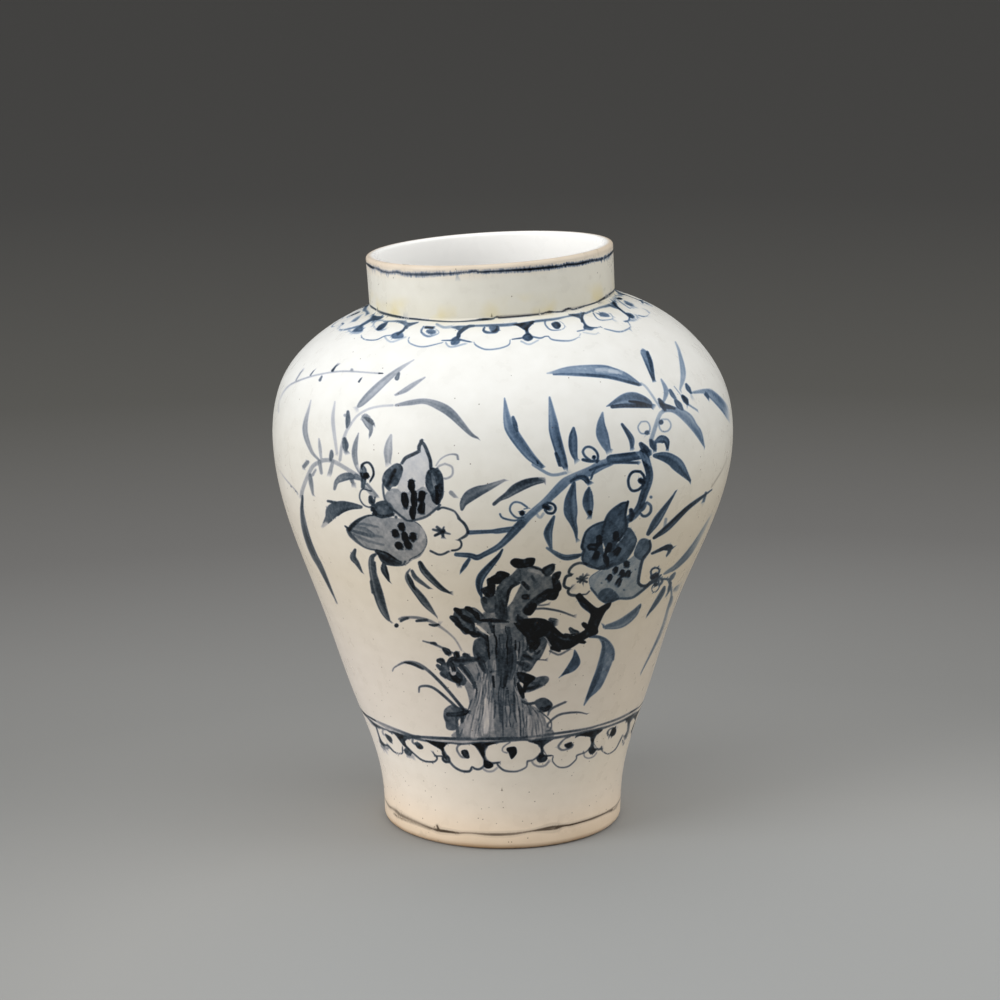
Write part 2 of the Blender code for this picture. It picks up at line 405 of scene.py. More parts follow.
def colour_of(mark, pixels):
    """How much colour a mark leaves at each pixel."""
    seed = mark["seed"]
    if "outline" in mark:
        closed = np.vstack((mark["outline"], mark["outline"][:1]))
        distance, _, _ = nearest_on(closed, pixels)
        depth = np.where(inside_outline(mark["outline"], pixels), distance, -distance)
        cover = smooth((depth + EDGE) / (2 * EDGE))
        cloud = np.sin(pixels[:, 0] * 0.31 + seed) * np.sin(pixels[:, 1] * 0.27 + 2 * seed)
        cloud += 0.8 * np.sin(pixels[:, 0] * 0.83 + 3 * seed) * np.sin(pixels[:, 1] * 0.71 + seed)
        pooled = POOL * np.exp(-np.maximum(depth, 0) / POOL_WIDTH)
        return cover * mark["tone"] * (1 + CLOUD * cloud + pooled)
    distance, side, along = nearest_on(mark["path"], pixels)
    places = np.arange(len(mark["path"]))
    half = np.interp(along, places, mark["path"][:, 2]) / 2
    cover = smooth((half - distance + EDGE) / (2 * EDGE))
    share = np.clip(distance / half, 0, 1)
    streaks = np.sin(4.4 * side * share + seed + 0.02 * along) + 0.6 * np.sin(9.1 * side * share + 2.3 * seed)
    wide = smooth((half - 1.2) / 2)
    lean = np.sin(2 * seed) * side * share
    body = 1.0 + wide * (RIM * share**3 + STREAK * streaks + LEAN * lean) + WAVER * np.sin(0.21 * along + seed)
    return cover * np.interp(along, places, mark["tones"]) * body


def reach(mark):
    """The lowest and highest pixel that a mark may touch."""
    path = mark.get("path", mark.get("outline"))
    spread = path[:, 2:].max() / 2 + 1 if "path" in mark else 1
    return path[:, :2].min(axis=0) - spread, path[:, :2].max(axis=0) + spread


print(f"a mark's edge is {2 * EDGE * PIXEL * 1000:.1f} mm soft")

# %% [markdown]
# The mesh must have points where the colour changes, or a fine stroke would blur away between them.
# So each mark names its anchors: pixels just inside and just outside its edges, down its middle, and
# a loose grid over the inside of a wash.

# %% Anchors of a mark
WASH_GRID = 2.4
LEAST_RING = 0.2
WIDE_HALF, BROAD_HALF = 0.75, 2.2
TIP_FAN = (-0.7, 0, 0.7)


def anchors(mark):
    """Pixels where the mesh needs points to hold this mark's edges."""
    path = mark.get("path", mark.get("outline"))
    if len(path) == 1:
        turns = np.linspace(0, 2 * math.pi, 9)[:-1]
        ring = np.column_stack((np.cos(turns), np.sin(turns)))
        half = path[0, 2] / 2
        rims = [radius for radius in (half - EDGE, half + EDGE) if radius > LEAST_RING]
        return np.vstack([path[:, :2]] + [path[0, :2] + ring * radius for radius in rims])
    closed = "outline" in mark
    ends = (np.roll(path, 1, 0), np.roll(path, -1, 0)) if closed else (path[:-1], path[1:])
    tangent = ends[1] - ends[0] if closed else np.gradient(path, axis=0)
    tangent = tangent[:, :2] / np.maximum(np.linalg.norm(tangent[:, :2], axis=1), 1e-6)[:, None]
    normal = np.column_stack((-tangent[:, 1], tangent[:, 0]))
    if closed:
        low, high = path.min(axis=0), path.max(axis=0)
        columns = [np.arange(a, b, WASH_GRID) for a, b in zip(low, high)]
        grid = np.stack(np.meshgrid(*columns), axis=-1).reshape(-1, 2)
        filled = grid[inside_outline(path, grid)] if len(grid) else grid
        return np.vstack([path + normal * EDGE, path - normal * EDGE, filled])
    half = path[:, 2:] / 2
    rows = [path[:, :2], path[:, :2] + normal * (half + EDGE), path[:, :2] - normal * (half + EDGE)]
    for sign in (1, -1):
        rows.append((path[:, :2] + sign * normal * (half - EDGE))[half[:, 0] > WIDE_HALF])
        rows.append((path[:, :2] + sign * normal * half / 2)[half[:, 0] > BROAD_HALF])
    for end, outward in ((0, -tangent[0]), (-1, tangent[-1])):
        for spread in (half[end] - EDGE, half[end] + EDGE):
            if spread > LEAST_RING:
                for lean in TIP_FAN:
                    direction = outward * math.cos(lean) + normal[end] * math.sin(lean)
                    rows.append(path[end : end + 1, :2] + direction * spread)
    return np.vstack(rows)


print(len(anchors({"path": np.array([[0, 0, 4.0], [10, 0, 4.0]])})), "anchors for a plain stroke of two points")

# %% [markdown]
# ## The painting: lines run round the turning jar
#
# Before the flowers, the painter held a loaded brush against the slowly turning jar and drew the
# lines under the lip, round the neck's base, above the lower band and just over the foot. None is
# level. Each is given by a few pixels with a width, and the hand's waver is in them.

# %% Lines
LIP_LINE = [
    stroke((0.45, 0.6), (367, 264, 1.5), (372, 267.3, 1.6), (377, 268.5, 1.2), (383, 271.5, 1.9), (391, 272.6, 1.6),
        (397, 272, 2), (405, 274, 2.3), (425, 274.5, 2.6), (440, 273.7, 2)),
    stroke((0.5, 0.9), (440, 273.7, 2), (450, 273.7, 1.6), (475, 271.3, 1.2), (482, 272, 1.6), (530, 269.3, 2.5)),
    stroke(0.9, (530, 269.3, 2), (553, 267, 2.4), (560, 266.3, 1.6), (568, 264.5, 2), (577, 264), (593, 260.3, 1.5),
        (600, 259.5, 1.2), (607, 256.5, 1), (612, 252.5)),
]
NECK_LINE = [
    stroke(0.85, (371, 306.5, 0.8), (380, 311.8, 1.8), (390, 315, 2.3), (410, 318.5, 1.3), (445, 321.3, 0.8),
        (467, 321), (483, 319.3, 2.1)),
    stroke(0.9, (483, 319.3, 2.1), (492, 318.8, 1.5), (497, 317, 1.3), (503, 317.5), (538, 314.3, 1.1),
        (545, 312.8, 0.8), (550, 312, 1.8), (556, 312, 0.8)),
    stroke(0.85, (556, 312, 0.8), (562, 311.5), (568, 308.7, 1.9), (573, 309.5, 0.8), (578, 308, 1.3),
        (596, 302.5, 0.8), (605, 297.5, 1.8), (612.5, 292, 1.3)),
    stroke(0.45, (497, 317, 3), (538, 314.2, 2.5), (550, 312.2, 3.4), ink="iron"),
    stroke(0.35, (560, 311.4, 1.5), (568, 309.4, 3), (590, 304.6, 1.2), (604, 298.2, 2), ink="iron"),
]
BAND_LINES = [
    stroke((0.25, 0.7), (367.5, 716, 1.9), (379.5, 722.5), (409.5, 735, 2.9), (419.5, 737)),
    stroke(0.69, (420, 737, 2.6), (462, 739, 3.1), (510, 738.5, 3), (530, 737, 2.2)),
    stroke((0.66, 0.44), (530, 737, 2.2), (580, 730, 2.4), (600, 725, 1.8), (620, 718, 2.2), (637, 708.5, 1.8),
        (643, 703, 1.6)),
    stroke(0.66, (366, 716, 1.2), (375, 725, 3), (387, 730, 1.2), (394, 733, 2), (429, 741.5), (451, 743, 1.5)),
    stroke(0.66, (452, 743, 1.8), (462, 744, 1.9), (480, 742.5, 2.3), (490, 742.5), (520, 740, 1.9), (530, 740.2),
        (540, 740, 3.3), (560, 737, 2.5)),
    stroke(0.62, (560, 737, 2.5), (590, 731.5, 3.3), (612, 725, 1.9), (628, 718, 2.3), (638, 711.5, 2.1)),
    # A thin grey-blue wash between the two lines: a painted highlight of the glaze, laid as pale cobalt.
    wash(0.21, (376, 722), (400, 732.5), (430, 739), (470, 741), (520, 739), (545, 737.5), (520, 740), (470, 743),
        (430, 741), (400, 735)),
]
FOOT_LINE = [
    stroke((0.6, 0.95), (385, 799, 1.4), (389, 806, 2), (395, 810, 2.6), (401, 815, 3), (416, 822, 2.4),
        (432, 828.5, 2.2), (440, 830.5, 3), (458, 833, 2.2), ink="iron"),
    stroke((0.7, 0.85), (458, 833, 2), (470, 833, 1.8), (490, 834.5, 2.6), (512, 834), (532, 831, 1.8),
        (550, 828.3, 4), (557, 827.3), ink="iron"),
    stroke((0.8, 0.5), (394, 813.5, 1), (401, 818.3, 1.3), (430, 829.6, 1), ink="iron"),
    stroke(0.95, (557, 827.3, 3.5), (565, 825.5, 2), (573, 824.3), (592, 818.5, 1.8), (610, 811, 1.2),
        (616, 807, 1), (623, 793), ink="iron"),
    stroke(0.9, (437, 825.5, 1.8), (438.5, 829, 2.4), (440, 831, 1.5), ink="iron"),
    stroke(0.8, (422, 836.3, 3), (424, 836.6, 2), ink="iron"),
]
print(f"{len(LIP_LINE + NECK_LINE + BAND_LINES + FOOT_LINE)} strokes in the lines seen from the front")

# %% [markdown]
# ## The painting: the shoulder's petal band
#
# Round the neck hangs a row of lappets, each a cloud-like petal drawn with a fine line, with an eye
# of a ring and a dark pupil, and a dark drop between neighbours. No two are alike, so each is drawn
# with its own strokes instead of repeating one.

# %% Shoulder band, left
SHOULDER_BAND_LEFT = [
    stroke(0.66, (340, 323, 1.2), (358, 312.5, 2), (363, 311), (367, 307.5, 1.5)),
    stroke(0.74, (352.5, 321, 1.5), (355.5, 319.5, 3), (361.5, 315, 1.2)),
    stroke(0.45, (344, 323, 1), (340, 326, 1.2), (340, 329, 1.4), (345, 329.5), (361, 325.5, 2)),
    wash(0.62, (353, 330.5), (362, 324.5), (363, 330.5), (357, 331.5)),
    stroke(0.65, (362, 325, 2.3), (372, 319, 2.8), (374, 317, 4.3), (377, 318), (382, 317, 2.3)),
    stroke(0.69, (373.5, 314.5, 2.3), (373.5, 320, 3.3)),
    stroke(0.25, (349.5, 330.5, 2.1), (353.5, 332.5), (358.5, 332.5), (362.5, 330.5)),
    stroke(0.57, (361.5, 335, 0.6), (362.5, 337.5, 0.8), (366.5, 339.5), (376.5, 339.5, 0.6), (385.5, 335.5),
        (390.5, 335), (402.5, 331)),
    stroke(0.5, (384, 321, 1.2), (395, 321, 1.5)),
    wash(0.56, (395, 320.5), (405, 320.5), (409, 322.5), (419, 321.9), (409, 326.5), (407, 329), (404, 324.5)),
    stroke(0.29, (384, 320, 1.3), (377, 320.5, 1.5), (374, 323.5, 1.6), (375, 327.5), (379, 330, 1.5),
        (384, 329.5, 1.3)),
    stroke((0.73, 0.55), (378, 329, 2.9), (380.5, 327.5, 4.9), (384, 325, 4.3), (387, 322.5, 2.3)),
    stroke(0.69, (405.5, 327, 2.2), (403.5, 330), (397.5, 334, 2.7)),
    wash(0.51, (392.3, 334.1), (400.8, 331.2), (403.7, 336.9), (393.2, 338.3)),
    stroke(0.18, (385, 336.5, 1.8), (388, 340), (393, 341.5), (405, 337)),
    stroke(0.4, (409.5, 337, 0.6), (408.5, 340, 0.9), (411, 343.5, 1.2), (423, 346.5), (442, 342.5, 0.6)),
    stroke((0.55, 0.19), (424, 326, 1), (421.5, 331.5, 2), (428, 336), (438, 333.5, 1.1), (438.5, 331, 1),
        (435, 328)),
    stroke(0.51, (428, 331, 3.3), (431, 331.6, 5.3), (435, 331.6, 3.3)),
    stroke(0.85, (341, 317, 2.5), (347, 318)),
]
print(len(SHOULDER_BAND_LEFT), "marks")

# %% Shoulder band, middle
SHOULDER_BAND_MIDDLE = [
    stroke(0.26, (437, 324, 2.5), (444, 327), (452, 326.5, 2.9)),
    wash(0.47, (451.5, 327), (457.5, 325.5), (469.5, 325.5), (465.5, 327.5), (460.5, 331), (457.5, 329.5)),
    stroke(0.73, (474, 325.5, 2.1), (468, 326.5, 3.1), (460, 332, 3.6), (458.5, 336, 4)),
    wash(0.58, (451.5, 339), (457.5, 336), (460, 341), (457.5, 344), (451.5, 344.5)),
    stroke(0.66, (442, 340.2, 0.6), (452, 340, 1.4)),
    stroke(0.58, (458, 339, 2), (470, 341.5, 1.2)),
    stroke(0.22, (446, 342.5, 1.8), (448, 345.5), (453, 346.5), (465, 343.5)),
    stroke(0.5, (474.5, 325.5, 1.9), (503.5, 324.8, 2.9), (516.5, 323.5)),
    wash(0.88, (511.4, 324.5), (526.4, 321.6), (534.6, 320.8), (528.5, 327.8), (526.8, 331), (517.4, 325.6)),
    stroke(0.51, (535, 321, 2.3), (555, 318.7), (568, 316, 1.3), (578, 315, 1.8)),
    stroke(0.73, (526, 328, 3), (527.5, 334, 3.4)),
    wash(0.71, (522.2, 336.7), (526.4, 332.7), (529.7, 333.2), (532.8, 337), (531.2, 339.7), (527.5, 340.8),
        (523.8, 339.4)),
    stroke(0.75, (512, 339, 0.6), (523, 337.5, 1.4)),
    stroke(0.66, (531, 336, 1.4), (540, 337.8), (545, 336.1, 0.7), (548, 336)),
    stroke(0.21, (521, 341, 1.7), (529, 344), (538, 340, 1.5)),
    stroke(0.44, (474, 342, 0.6), (476, 345, 1.4), (485, 349), (497, 348.5), (506, 346, 1.2), (509.5, 343.5, 1),
        (510, 339.5, 0.6)),
    stroke((0.65, 0.41), (484.5, 327.5, 1.6), (483.5, 330, 2.5), (486.5, 332), (495.5, 332.4, 1.6)),
    wash(0.56, (489.5, 326), (497.5, 325.4), (499.5, 329), (497.5, 332), (493.5, 333), (490.5, 330.5)),
    stroke(0.85, (497, 327, 1.4), (496, 330, 2.4), (492.5, 331.4, 2)),
    stroke((0.51, 0.26), (548, 336, 0.7), (553, 339.5, 1.4), (569, 340.5), (578, 337, 0.6), (580, 334)),
    stroke((0.62, 0.23), (545.5, 320, 1.4), (545, 324), (550.5, 329.5, 1), (560.5, 329.5, 0.6), (564.5, 327),
        (563.5, 324), (560.5, 321.5)),
    wash(0.83, (551.1, 323.3), (557.2, 321.5), (560.6, 325.1), (558.3, 328.5), (554.2, 327.8)),
    stroke(0.54, (577, 331, 0.8), (584, 329.6, 1)),
    stroke(0.85, (426, 327, 2.5), (433, 327.5)),
]
print(len(SHOULDER_BAND_MIDDLE), "marks")

# %% Shoulder band, right
SHOULDER_BAND_RIGHT = [
    wash(0.66, (568.5, 314.5), (576.5, 313.4), (584.5, 312), (582.5, 317), (583.5, 321), (581, 322), (579, 318)),
    stroke(0.74, (582.5, 314, 2.4), (582, 318.5, 1.9), (586.5, 326, 2), (595, 327.5, 0.9), (600, 326.5, 0.6)),
    wash(0.54, (584, 324.5), (588, 326.5), (594, 327.5), (591, 330), (583.6, 328.5)),
    stroke(0.13, (583, 332, 1.2), (594, 334), (598, 332.5)),
    stroke(0.5, (585.5, 313, 1.8), (597.5, 308, 1.9), (607.5, 305.5, 2.6)),
    stroke((0.75, 0.33), (593.5, 309, 1.2), (593, 313, 0.8), (599, 319.5, 0.6), (611, 319), (612, 316),
        (610, 313.5)),
    wash(0.51, (599, 313.1), (602, 311.9), (607, 313.5), (609, 316.5), (600, 316)),
    wash(0.56, (606.5, 305), (610.5, 303.2), (612.5, 300.5), (615.5, 302.5), (617.5, 306), (620.5, 309.6)),
    stroke(0.89, (613, 302.5, 2.5), (617, 307, 1.5), (626, 313.8), (630, 315.5)),
    stroke(0.55, (614, 302, 2.3), (615.5, 293, 1.5)),
    wash(0.64, (625.5, 312.5), (630.5, 313.3), (633.5, 315.5), (632.5, 318.5), (626.5, 315.5)),
    stroke(0.58, (629.5, 316.5, 1.7), (628, 320.5, 1.5), (625, 321, 1.7)),
    stroke(0.22, (630, 320, 2.1), (634, 320), (637, 318), (636, 315, 1.9)),
    stroke(0.45, (604, 328.5, 0.6), (619, 331.5, 1.4), (628, 328.5), (630, 326, 0.9), (628.5, 323, 0.6)),
    stroke(0.85, (616, 290.5, 0.6), (641, 303.5, 0.8)),
    stroke(0.47, (615, 296.5, 0.7), (619, 301, 0.9), (629, 308, 0.6)),
    stroke(0.78, (624.5, 301, 2), (627.5, 303.2, 3.4), (631.5, 305, 2.6)),
    stroke(0.4, (631.5, 303, 0.7), (633.5, 306, 0.9), (630, 308, 0.7)),
    stroke(0.7, (634, 299.5, 1.5), (643, 304.5)),
    stroke(0.47, (638, 315, 0.6), (643, 316.3, 0.8), (647, 315.5), (649, 313, 0.6), (646, 310)),
]
SHOULDER_BAND = SHOULDER_BAND_LEFT + SHOULDER_BAND_MIDDLE + SHOULDER_BAND_RIGHT
print(f"{len(SHOULDER_BAND)} strokes in the shoulder band")

# %% [markdown]
# ## The painting: twigs and leaves on the left
#
# Leaves are single loaded strokes: the brush lands on its point, is pressed down for the belly of the
# leaf and lifted to the tip. Thin cobalt fires grey-blue, thick cobalt nearly black, so each stroke
# carries its own tone.

# %% Left leaves
LEFT_LEAVES = [
    stroke(0.25, (278.5, 412, 1.3), (279.5, 400, 1.5), (288.5, 386, 1.6), (305.5, 378), (325.5, 373), (345.5, 371),
        (378.5, 373)),
    stroke(0.35, (296, 380, 1.2), (301, 372)),
    stroke(0.71, (310.5, 375, 1), (313.5, 371, 0.6)),
    stroke(0.79, (332.5, 370.5, 2.4), (335.5, 366.5, 1.4)),
    stroke(0.54, (320, 380, 2.7), (322, 376, 1.7)),
    stroke(0.79, (359, 381.5, 1.7), (361, 378.5, 1.3)),
    stroke(0.31, (352, 369.5, 3.1)),
    stroke(0.9, (379, 373, 1.2), (383, 373, 0.6)),
    stroke((0.22, 0.34), (414, 359.5, 1), (400, 368.5, 4), (385, 380.5, 7), (372, 392.5, 8), (362, 402.5, 6),
        (358, 406.5, 3)),
    stroke(0.55, (397, 378, 4.6), (399, 373, 2.6)),
    stroke(0.3, (425, 377, 1.3), (414, 384, 4.3), (405, 390, 4.8), (395, 395, 1.8)),
    stroke(0.17, (352, 422, 2.3), (358, 415), (368, 409), (380, 406), (393, 405)),
    stroke((0.31, 0.5), (396, 405, 2.6), (410, 402.5, 5.1), (425, 401, 5.6), (440, 406, 8.6), (452, 414),
        (470, 433, 4.1), (478, 438, 1.6)),
    stroke(0.22, (351, 423, 3), (346, 432), (342, 445), (340, 460)),
    stroke(0.51, (348, 411.5, 3), (348, 420.5, 5), (347, 427.5, 2)),
    stroke(0.27, (345, 415, 3.1)),
    stroke(0.58, (344.5, 439, 4), (345.5, 445, 6.5), (345.5, 450, 4)),
    stroke(0.48, (331.5, 451, 3), (331.5, 455, 4.5), (330.5, 460, 3)),
    stroke((0.23, 0.35), (311, 400, 1), (305, 428, 5), (311, 450, 3.5), (319, 460, 2)),
    stroke(0.19, (335, 401.5, 1.6), (333, 420.5, 3.6), (337, 453.5, 2.6)),
    stroke(0.26, (319, 438.5, 1.3), (320, 447.5, 3.3), (321, 457.5, 2.3)),
    stroke(0.35, (319.5, 461.5, 3.9), (321.5, 473.5, 2.9)),
    stroke(0.3, (333, 460.5, 3.2), (330, 472.5, 4.2)),
    stroke(0.39, (358.5, 433, 1), (355.5, 444, 4.5), (354.5, 454, 5.5), (356.5, 465, 4), (360.5, 475, 1.5)),
    stroke((0.35, 0.55), (366, 418, 9), (369, 424, 8), (371, 430, 4), (370, 435, 2.5)),
    stroke(0.28, (391, 435, 2.5), (389, 443, 6.5), (388, 452, 8.5), (388, 462, 5.5)),
    stroke(0.39, (307.5, 462, 4), (303.5, 467)),
    stroke(0.26, (357, 475, 3.7), (335, 462, 4.2), (325, 460), (317, 463), (311, 469, 3.9), (303, 488, 3.7),
        (301.5, 496)),
    stroke(0.66, (302.5, 496, 2), (302, 510, 3.5), (304, 525, 5.5), (308, 540, 6), (314, 555), (321, 568, 5),
        (336, 601, 1)),
    stroke(0.41, (310, 474.5, 2.9), (311, 482.5, 4.4), (313, 494.5, 1.9)),
    stroke(0.31, (312.5, 475, 3), (315.5, 470, 2)),
    stroke(0.27, (274, 456, 0.9), (278, 467), (284, 477), (297, 492)),
    stroke(0.56, (290.5, 486, 0.7), (291.5, 487, 0.6)),
    stroke(0.56, (295.5, 491, 0.7), (296.5, 492, 0.6)),
    stroke(0.48, (334.5, 489, 2.6), (336.5, 482, 4.6), (341.5, 478, 7.6), (348.5, 476), (352.5, 477, 5.6)),
    stroke(0.41, (350, 475, 5.3), (353, 483, 3.3)),
    stroke(0.47, (356, 476.5, 6.3), (361, 478.5, 4.3)),
    stroke(0.62, (361, 507, 3.5), (351, 506, 7.5), (341, 507, 12.5), (333, 511, 14.5), (329, 518, 8.5),
        (323, 526, 3)),
    stroke(0.89, (365.5, 479.5, 1.8), (361.5, 475.5, 2), (361, 468.5, 2.2), (363.5, 463.5), (368.5, 462.5),
        (372.5, 467.5), (373.5, 474.5), (370.5, 480.5, 2)),
    stroke(0.64, (362, 465, 3), (364, 472, 6), (363, 487, 4)),
    stroke(0.94, (366, 475.5, 6.9)),
    stroke(0.75, (371, 491, 1.4), (363, 489), (360, 493), (360, 499), (364, 505), (370, 507), (374, 503),
        (375, 497)),
    stroke(0.77, (370.5, 497.5, 4.3), (371.5, 501.5, 5.8), (373.5, 504.5, 3.3)),
    stroke(0.44, (367, 484, 2.9), (377, 496)),
    stroke(0.3, (365.5, 487.5, 2.9), (373.5, 496.5)),
    stroke(0.7, (355, 550, 3), (353, 557, 6), (357, 563, 4.5), (362, 572, 1.5)),
    stroke(0.66, (377, 553.5, 2), (372, 557.5, 5), (372, 568.5, 6.5), (378, 592.5, 9.5), (383, 608.5, 8),
        (388, 618.5, 4), (390, 621, 1.5)),
    stroke(0.8, (384, 563, 3.6), (384, 569, 6.6), (387, 576, 4.6), (389, 581, 1.6)),
    stroke(0.6, (410, 569, 1), (407, 574, 3), (408, 581, 4), (420, 596, 7), (427, 605, 6.5), (437, 617, 1)),
    stroke(0.66, (412, 571, 3), (416, 578, 4.5), (429, 588, 2.5)),
    stroke(0.74, (420, 563, 4.6), (425, 572, 6.6), (440, 587, 5.1), (449, 592.5, 2.1)),
    stroke((0.64, 0.37), (462, 509, 3.5), (463.5, 503, 7.5), (469.5, 496, 11.5), (478.5, 491, 10.5),
        (486.5, 488, 7.5), (504.5, 480, 2.5)),
    stroke(0.66, (494, 504, 3.5), (500, 499, 4), (507, 495, 6.5), (515, 489, 9.5), (525, 484), (535, 481, 7.5),
        (543, 480, 5.5)),
    stroke((0.25, 0.36), (436, 465.5, 1.5), (440, 459.5), (446, 455.5), (452, 454), (457, 455, 2.3), (458, 459.5)),
    stroke(0.27, (445, 463.5, 2.1), (438, 467), (438, 475), (445, 478.5), (452, 475), (452, 467), (445, 463.5)),
    stroke(0.33, (451, 492.5, 4.5), (455, 496.5, 3.5)),
    stroke(0.6, (365, 417.5, 2.5), (370, 420.5, 5), (373.5, 424, 3)),
    stroke(0.85, (408, 575, 2.5), (411, 582, 4.5), (415, 589.5, 2)),
    stroke(0.8, (374.5, 562.5, 2.5), (375.5, 573)),
    stroke(0.66, (328, 501, 2.5), (336, 502.5)),
    stroke(0.75, (371, 581.5, 2.5), (372.5, 593, 2)),
    stroke(-0.5, (358, 466, 3), (361, 471)),
    stroke(-0.6, (321, 527.5, 4), (326, 523.5)),
]
print(f"{len(LEFT_LEAVES)} strokes in the left twigs and leaves")

# %% [markdown]
# ## The painting: fruit and flower on the left
#
# The split fruit is first outlined in dark cobalt, then filled with a thinner wash, then dotted with
# seeds. A wash is a patch given by its outline, and it pools a little at its rim, as wet colour does.

# %% Left fruit
LEFT_FRUIT = [
    wash(0.34, (348.7, 529.9), (353.7, 522.9), (361.8, 517.8), (371.8, 514.8), (384.9, 516.7), (408.2, 519.8),
        (417.3, 523.9), (423.3, 529.9), (426.3, 538), (425.3, 548.1), (420.3, 556.2), (412.2, 560.2),
        (406.2, 564.3), (398.1, 561.3), (388, 554.3), (367.7, 549.1), (357.7, 543.1), (351.7, 536)),
    stroke(0.88, (345, 526, 1.3), (350, 530, 3.3)),
    stroke(0.83, (349, 530, 4), (353, 525, 4.5), (359, 520, 3.5), (367, 516, 2), (374, 515, 1.5)),
    stroke(0.65, (348, 529.5, 4), (352, 536.5), (365, 547.5, 1.6), (378, 550.5, 1.5)),
    stroke(0.8, (410.5, 520, 0.6), (418.5, 524), (424.5, 532), (427, 541), (424.5, 549), (418.5, 555), (410.5, 559),
        (408.5, 562), (404.5, 565), (396.5, 566), (388.5, 565)),
    stroke(0.8, (376.5, 551, 3.6), (384.5, 556, 8.6), (392.5, 561), (399.5, 563, 4.6)),
    stroke(0.74, (376.5, 551, 1.9), (384.5, 563), (401.5, 565), (405.5, 561)),
    stroke((0.78, 0.47), (372, 510, 3), (377, 504), (384, 502), (390, 505), (394, 512)),
    wash(0.66, (374, 509.5), (378, 504.5), (385, 503.5), (391, 507.5), (393, 514.5), (384, 516.5), (376, 514.5)),
    stroke(0.85, (374, 513.5, 3.5), (382, 516.5), (393, 514.5)),
    stroke(0.66, (396, 517, 3)),
    stroke(1.08, (401.2, 525.6, 6.8), (402.2, 528.2)),
    stroke(1.08, (395, 532.2, 6.6), (395.8, 535, 7.3)),
    stroke(1.08, (404.3, 534.6, 6.2), (405.2, 538, 7.3)),
    stroke(1.08, (412.8, 535.8, 7.3), (413, 538.2)),
    stroke(1.08, (398.2, 545, 7.3), (400, 546.6)),
    stroke(1.08, (407.2, 543.4, 7), (408.8, 546)),
    stroke(0.73, (422, 440, 3), (419, 446.5, 3.5), (418, 451.5, 3.4), (406, 457.6, 3.5), (402, 463, 3)),
    stroke(0.78, (421, 441, 3.3), (425, 446), (430, 459), (431, 468)),
    wash(0.66, (384.2, 472.7), (389.7, 467.1), (396.2, 463.1), (401.6, 465.3), (402.8, 471.6), (397.4, 484.8),
        (391.9, 486.9), (388.8, 490.9), (382.2, 481.4)),
    stroke(0.6, (386.5, 485.5, 4.3), (392.5, 477.5, 5.3)),
    stroke(0.66, (384, 480, 2.1), (383, 488), (387, 503), (405, 519), (412, 521)),
    wash(0.13, (417.1, 452.1), (421.2, 445.1), (425.4, 449.2), (428.6, 457.4), (429.9, 467.8), (426.8, 476.3),
        (423.5, 486.8), (416.1, 492.9), (403.6, 494.8), (397.4, 488.6), (400.2, 478.4), (402.2, 465.6),
        (408.7, 457.2)),
    wash(0.29, (397.1, 488.6), (403.1, 492.5), (415.7, 490.4), (423.9, 486.5), (430.1, 494.8), (436.1, 505),
        (433.1, 512.2), (427, 516.4), (412.6, 521.6), (403.2, 519.5), (395, 513.3), (388.9, 505.1), (384.9, 496.9),
        (389, 489.7)),
    wash(0.74, (430.2, 468.6), (434, 467.6), (438.8, 470.6), (441.6, 476.5), (443, 491.7), (439.8, 503.4),
        (436, 504.4), (432.1, 500.4), (430.3, 494.5), (425.6, 485.1), (426.3, 473.5)),
    stroke(0.65, (437, 469, 3.3), (440, 476, 5.3), (441, 486), (440, 496, 6.3), (436, 502, 4.3)),
    stroke(0.66, (440, 505, 2.4), (427, 516), (412, 521)),
    stroke(1.08, (411.3, 482, 6.4), (411.5, 487, 7.2), (412, 492, 3)),
    stroke(1.08, (404.2, 495, 6.2), (405, 500.5, 7.8), (405.8, 506, 5.4)),
    stroke(1.08, (414, 492.5, 5), (414, 499, 6.8), (414.5, 506, 5.6)),
    stroke(1.08, (422.2, 494, 7.4), (421, 500, 6.4)),
    stroke(1.08, (422.2, 504.5, 6.2), (421, 510, 7.8)),
    stroke(1.08, (413, 508.5, 6.2), (412.6, 512.5, 7.2), (413, 518, 4)),
    stroke(0.5, (350, 526, 2), (362, 524, 3), (378, 527, 2)),
    stroke(0.5, (350, 530, 2.5), (365, 534, 3.5), (382, 537, 2)),
    stroke(0.46, (353, 534, 2), (368, 541, 3), (384, 545, 2)),
    stroke(0.42, (352, 529, 6), (362, 531, 9), (372, 535, 6)),
    stroke(0.88, (395, 470, 3.5), (390.5, 479, 5), (388, 485, 3)),
    stroke(-0.3, (432, 474, 2.5), (434, 481, 4), (435, 489, 2.5)),
    stroke(0.9, (436.5, 487, 4), (438.5, 495, 6), (437, 503, 4)),
    stroke(0.85, (372.5, 508.5, 4), (376, 513.5)),
    stroke(-0.3, (422, 528, 4), (422.5, 535, 6), (420, 541, 4)),
]
print(len(LEFT_FRUIT), "marks")

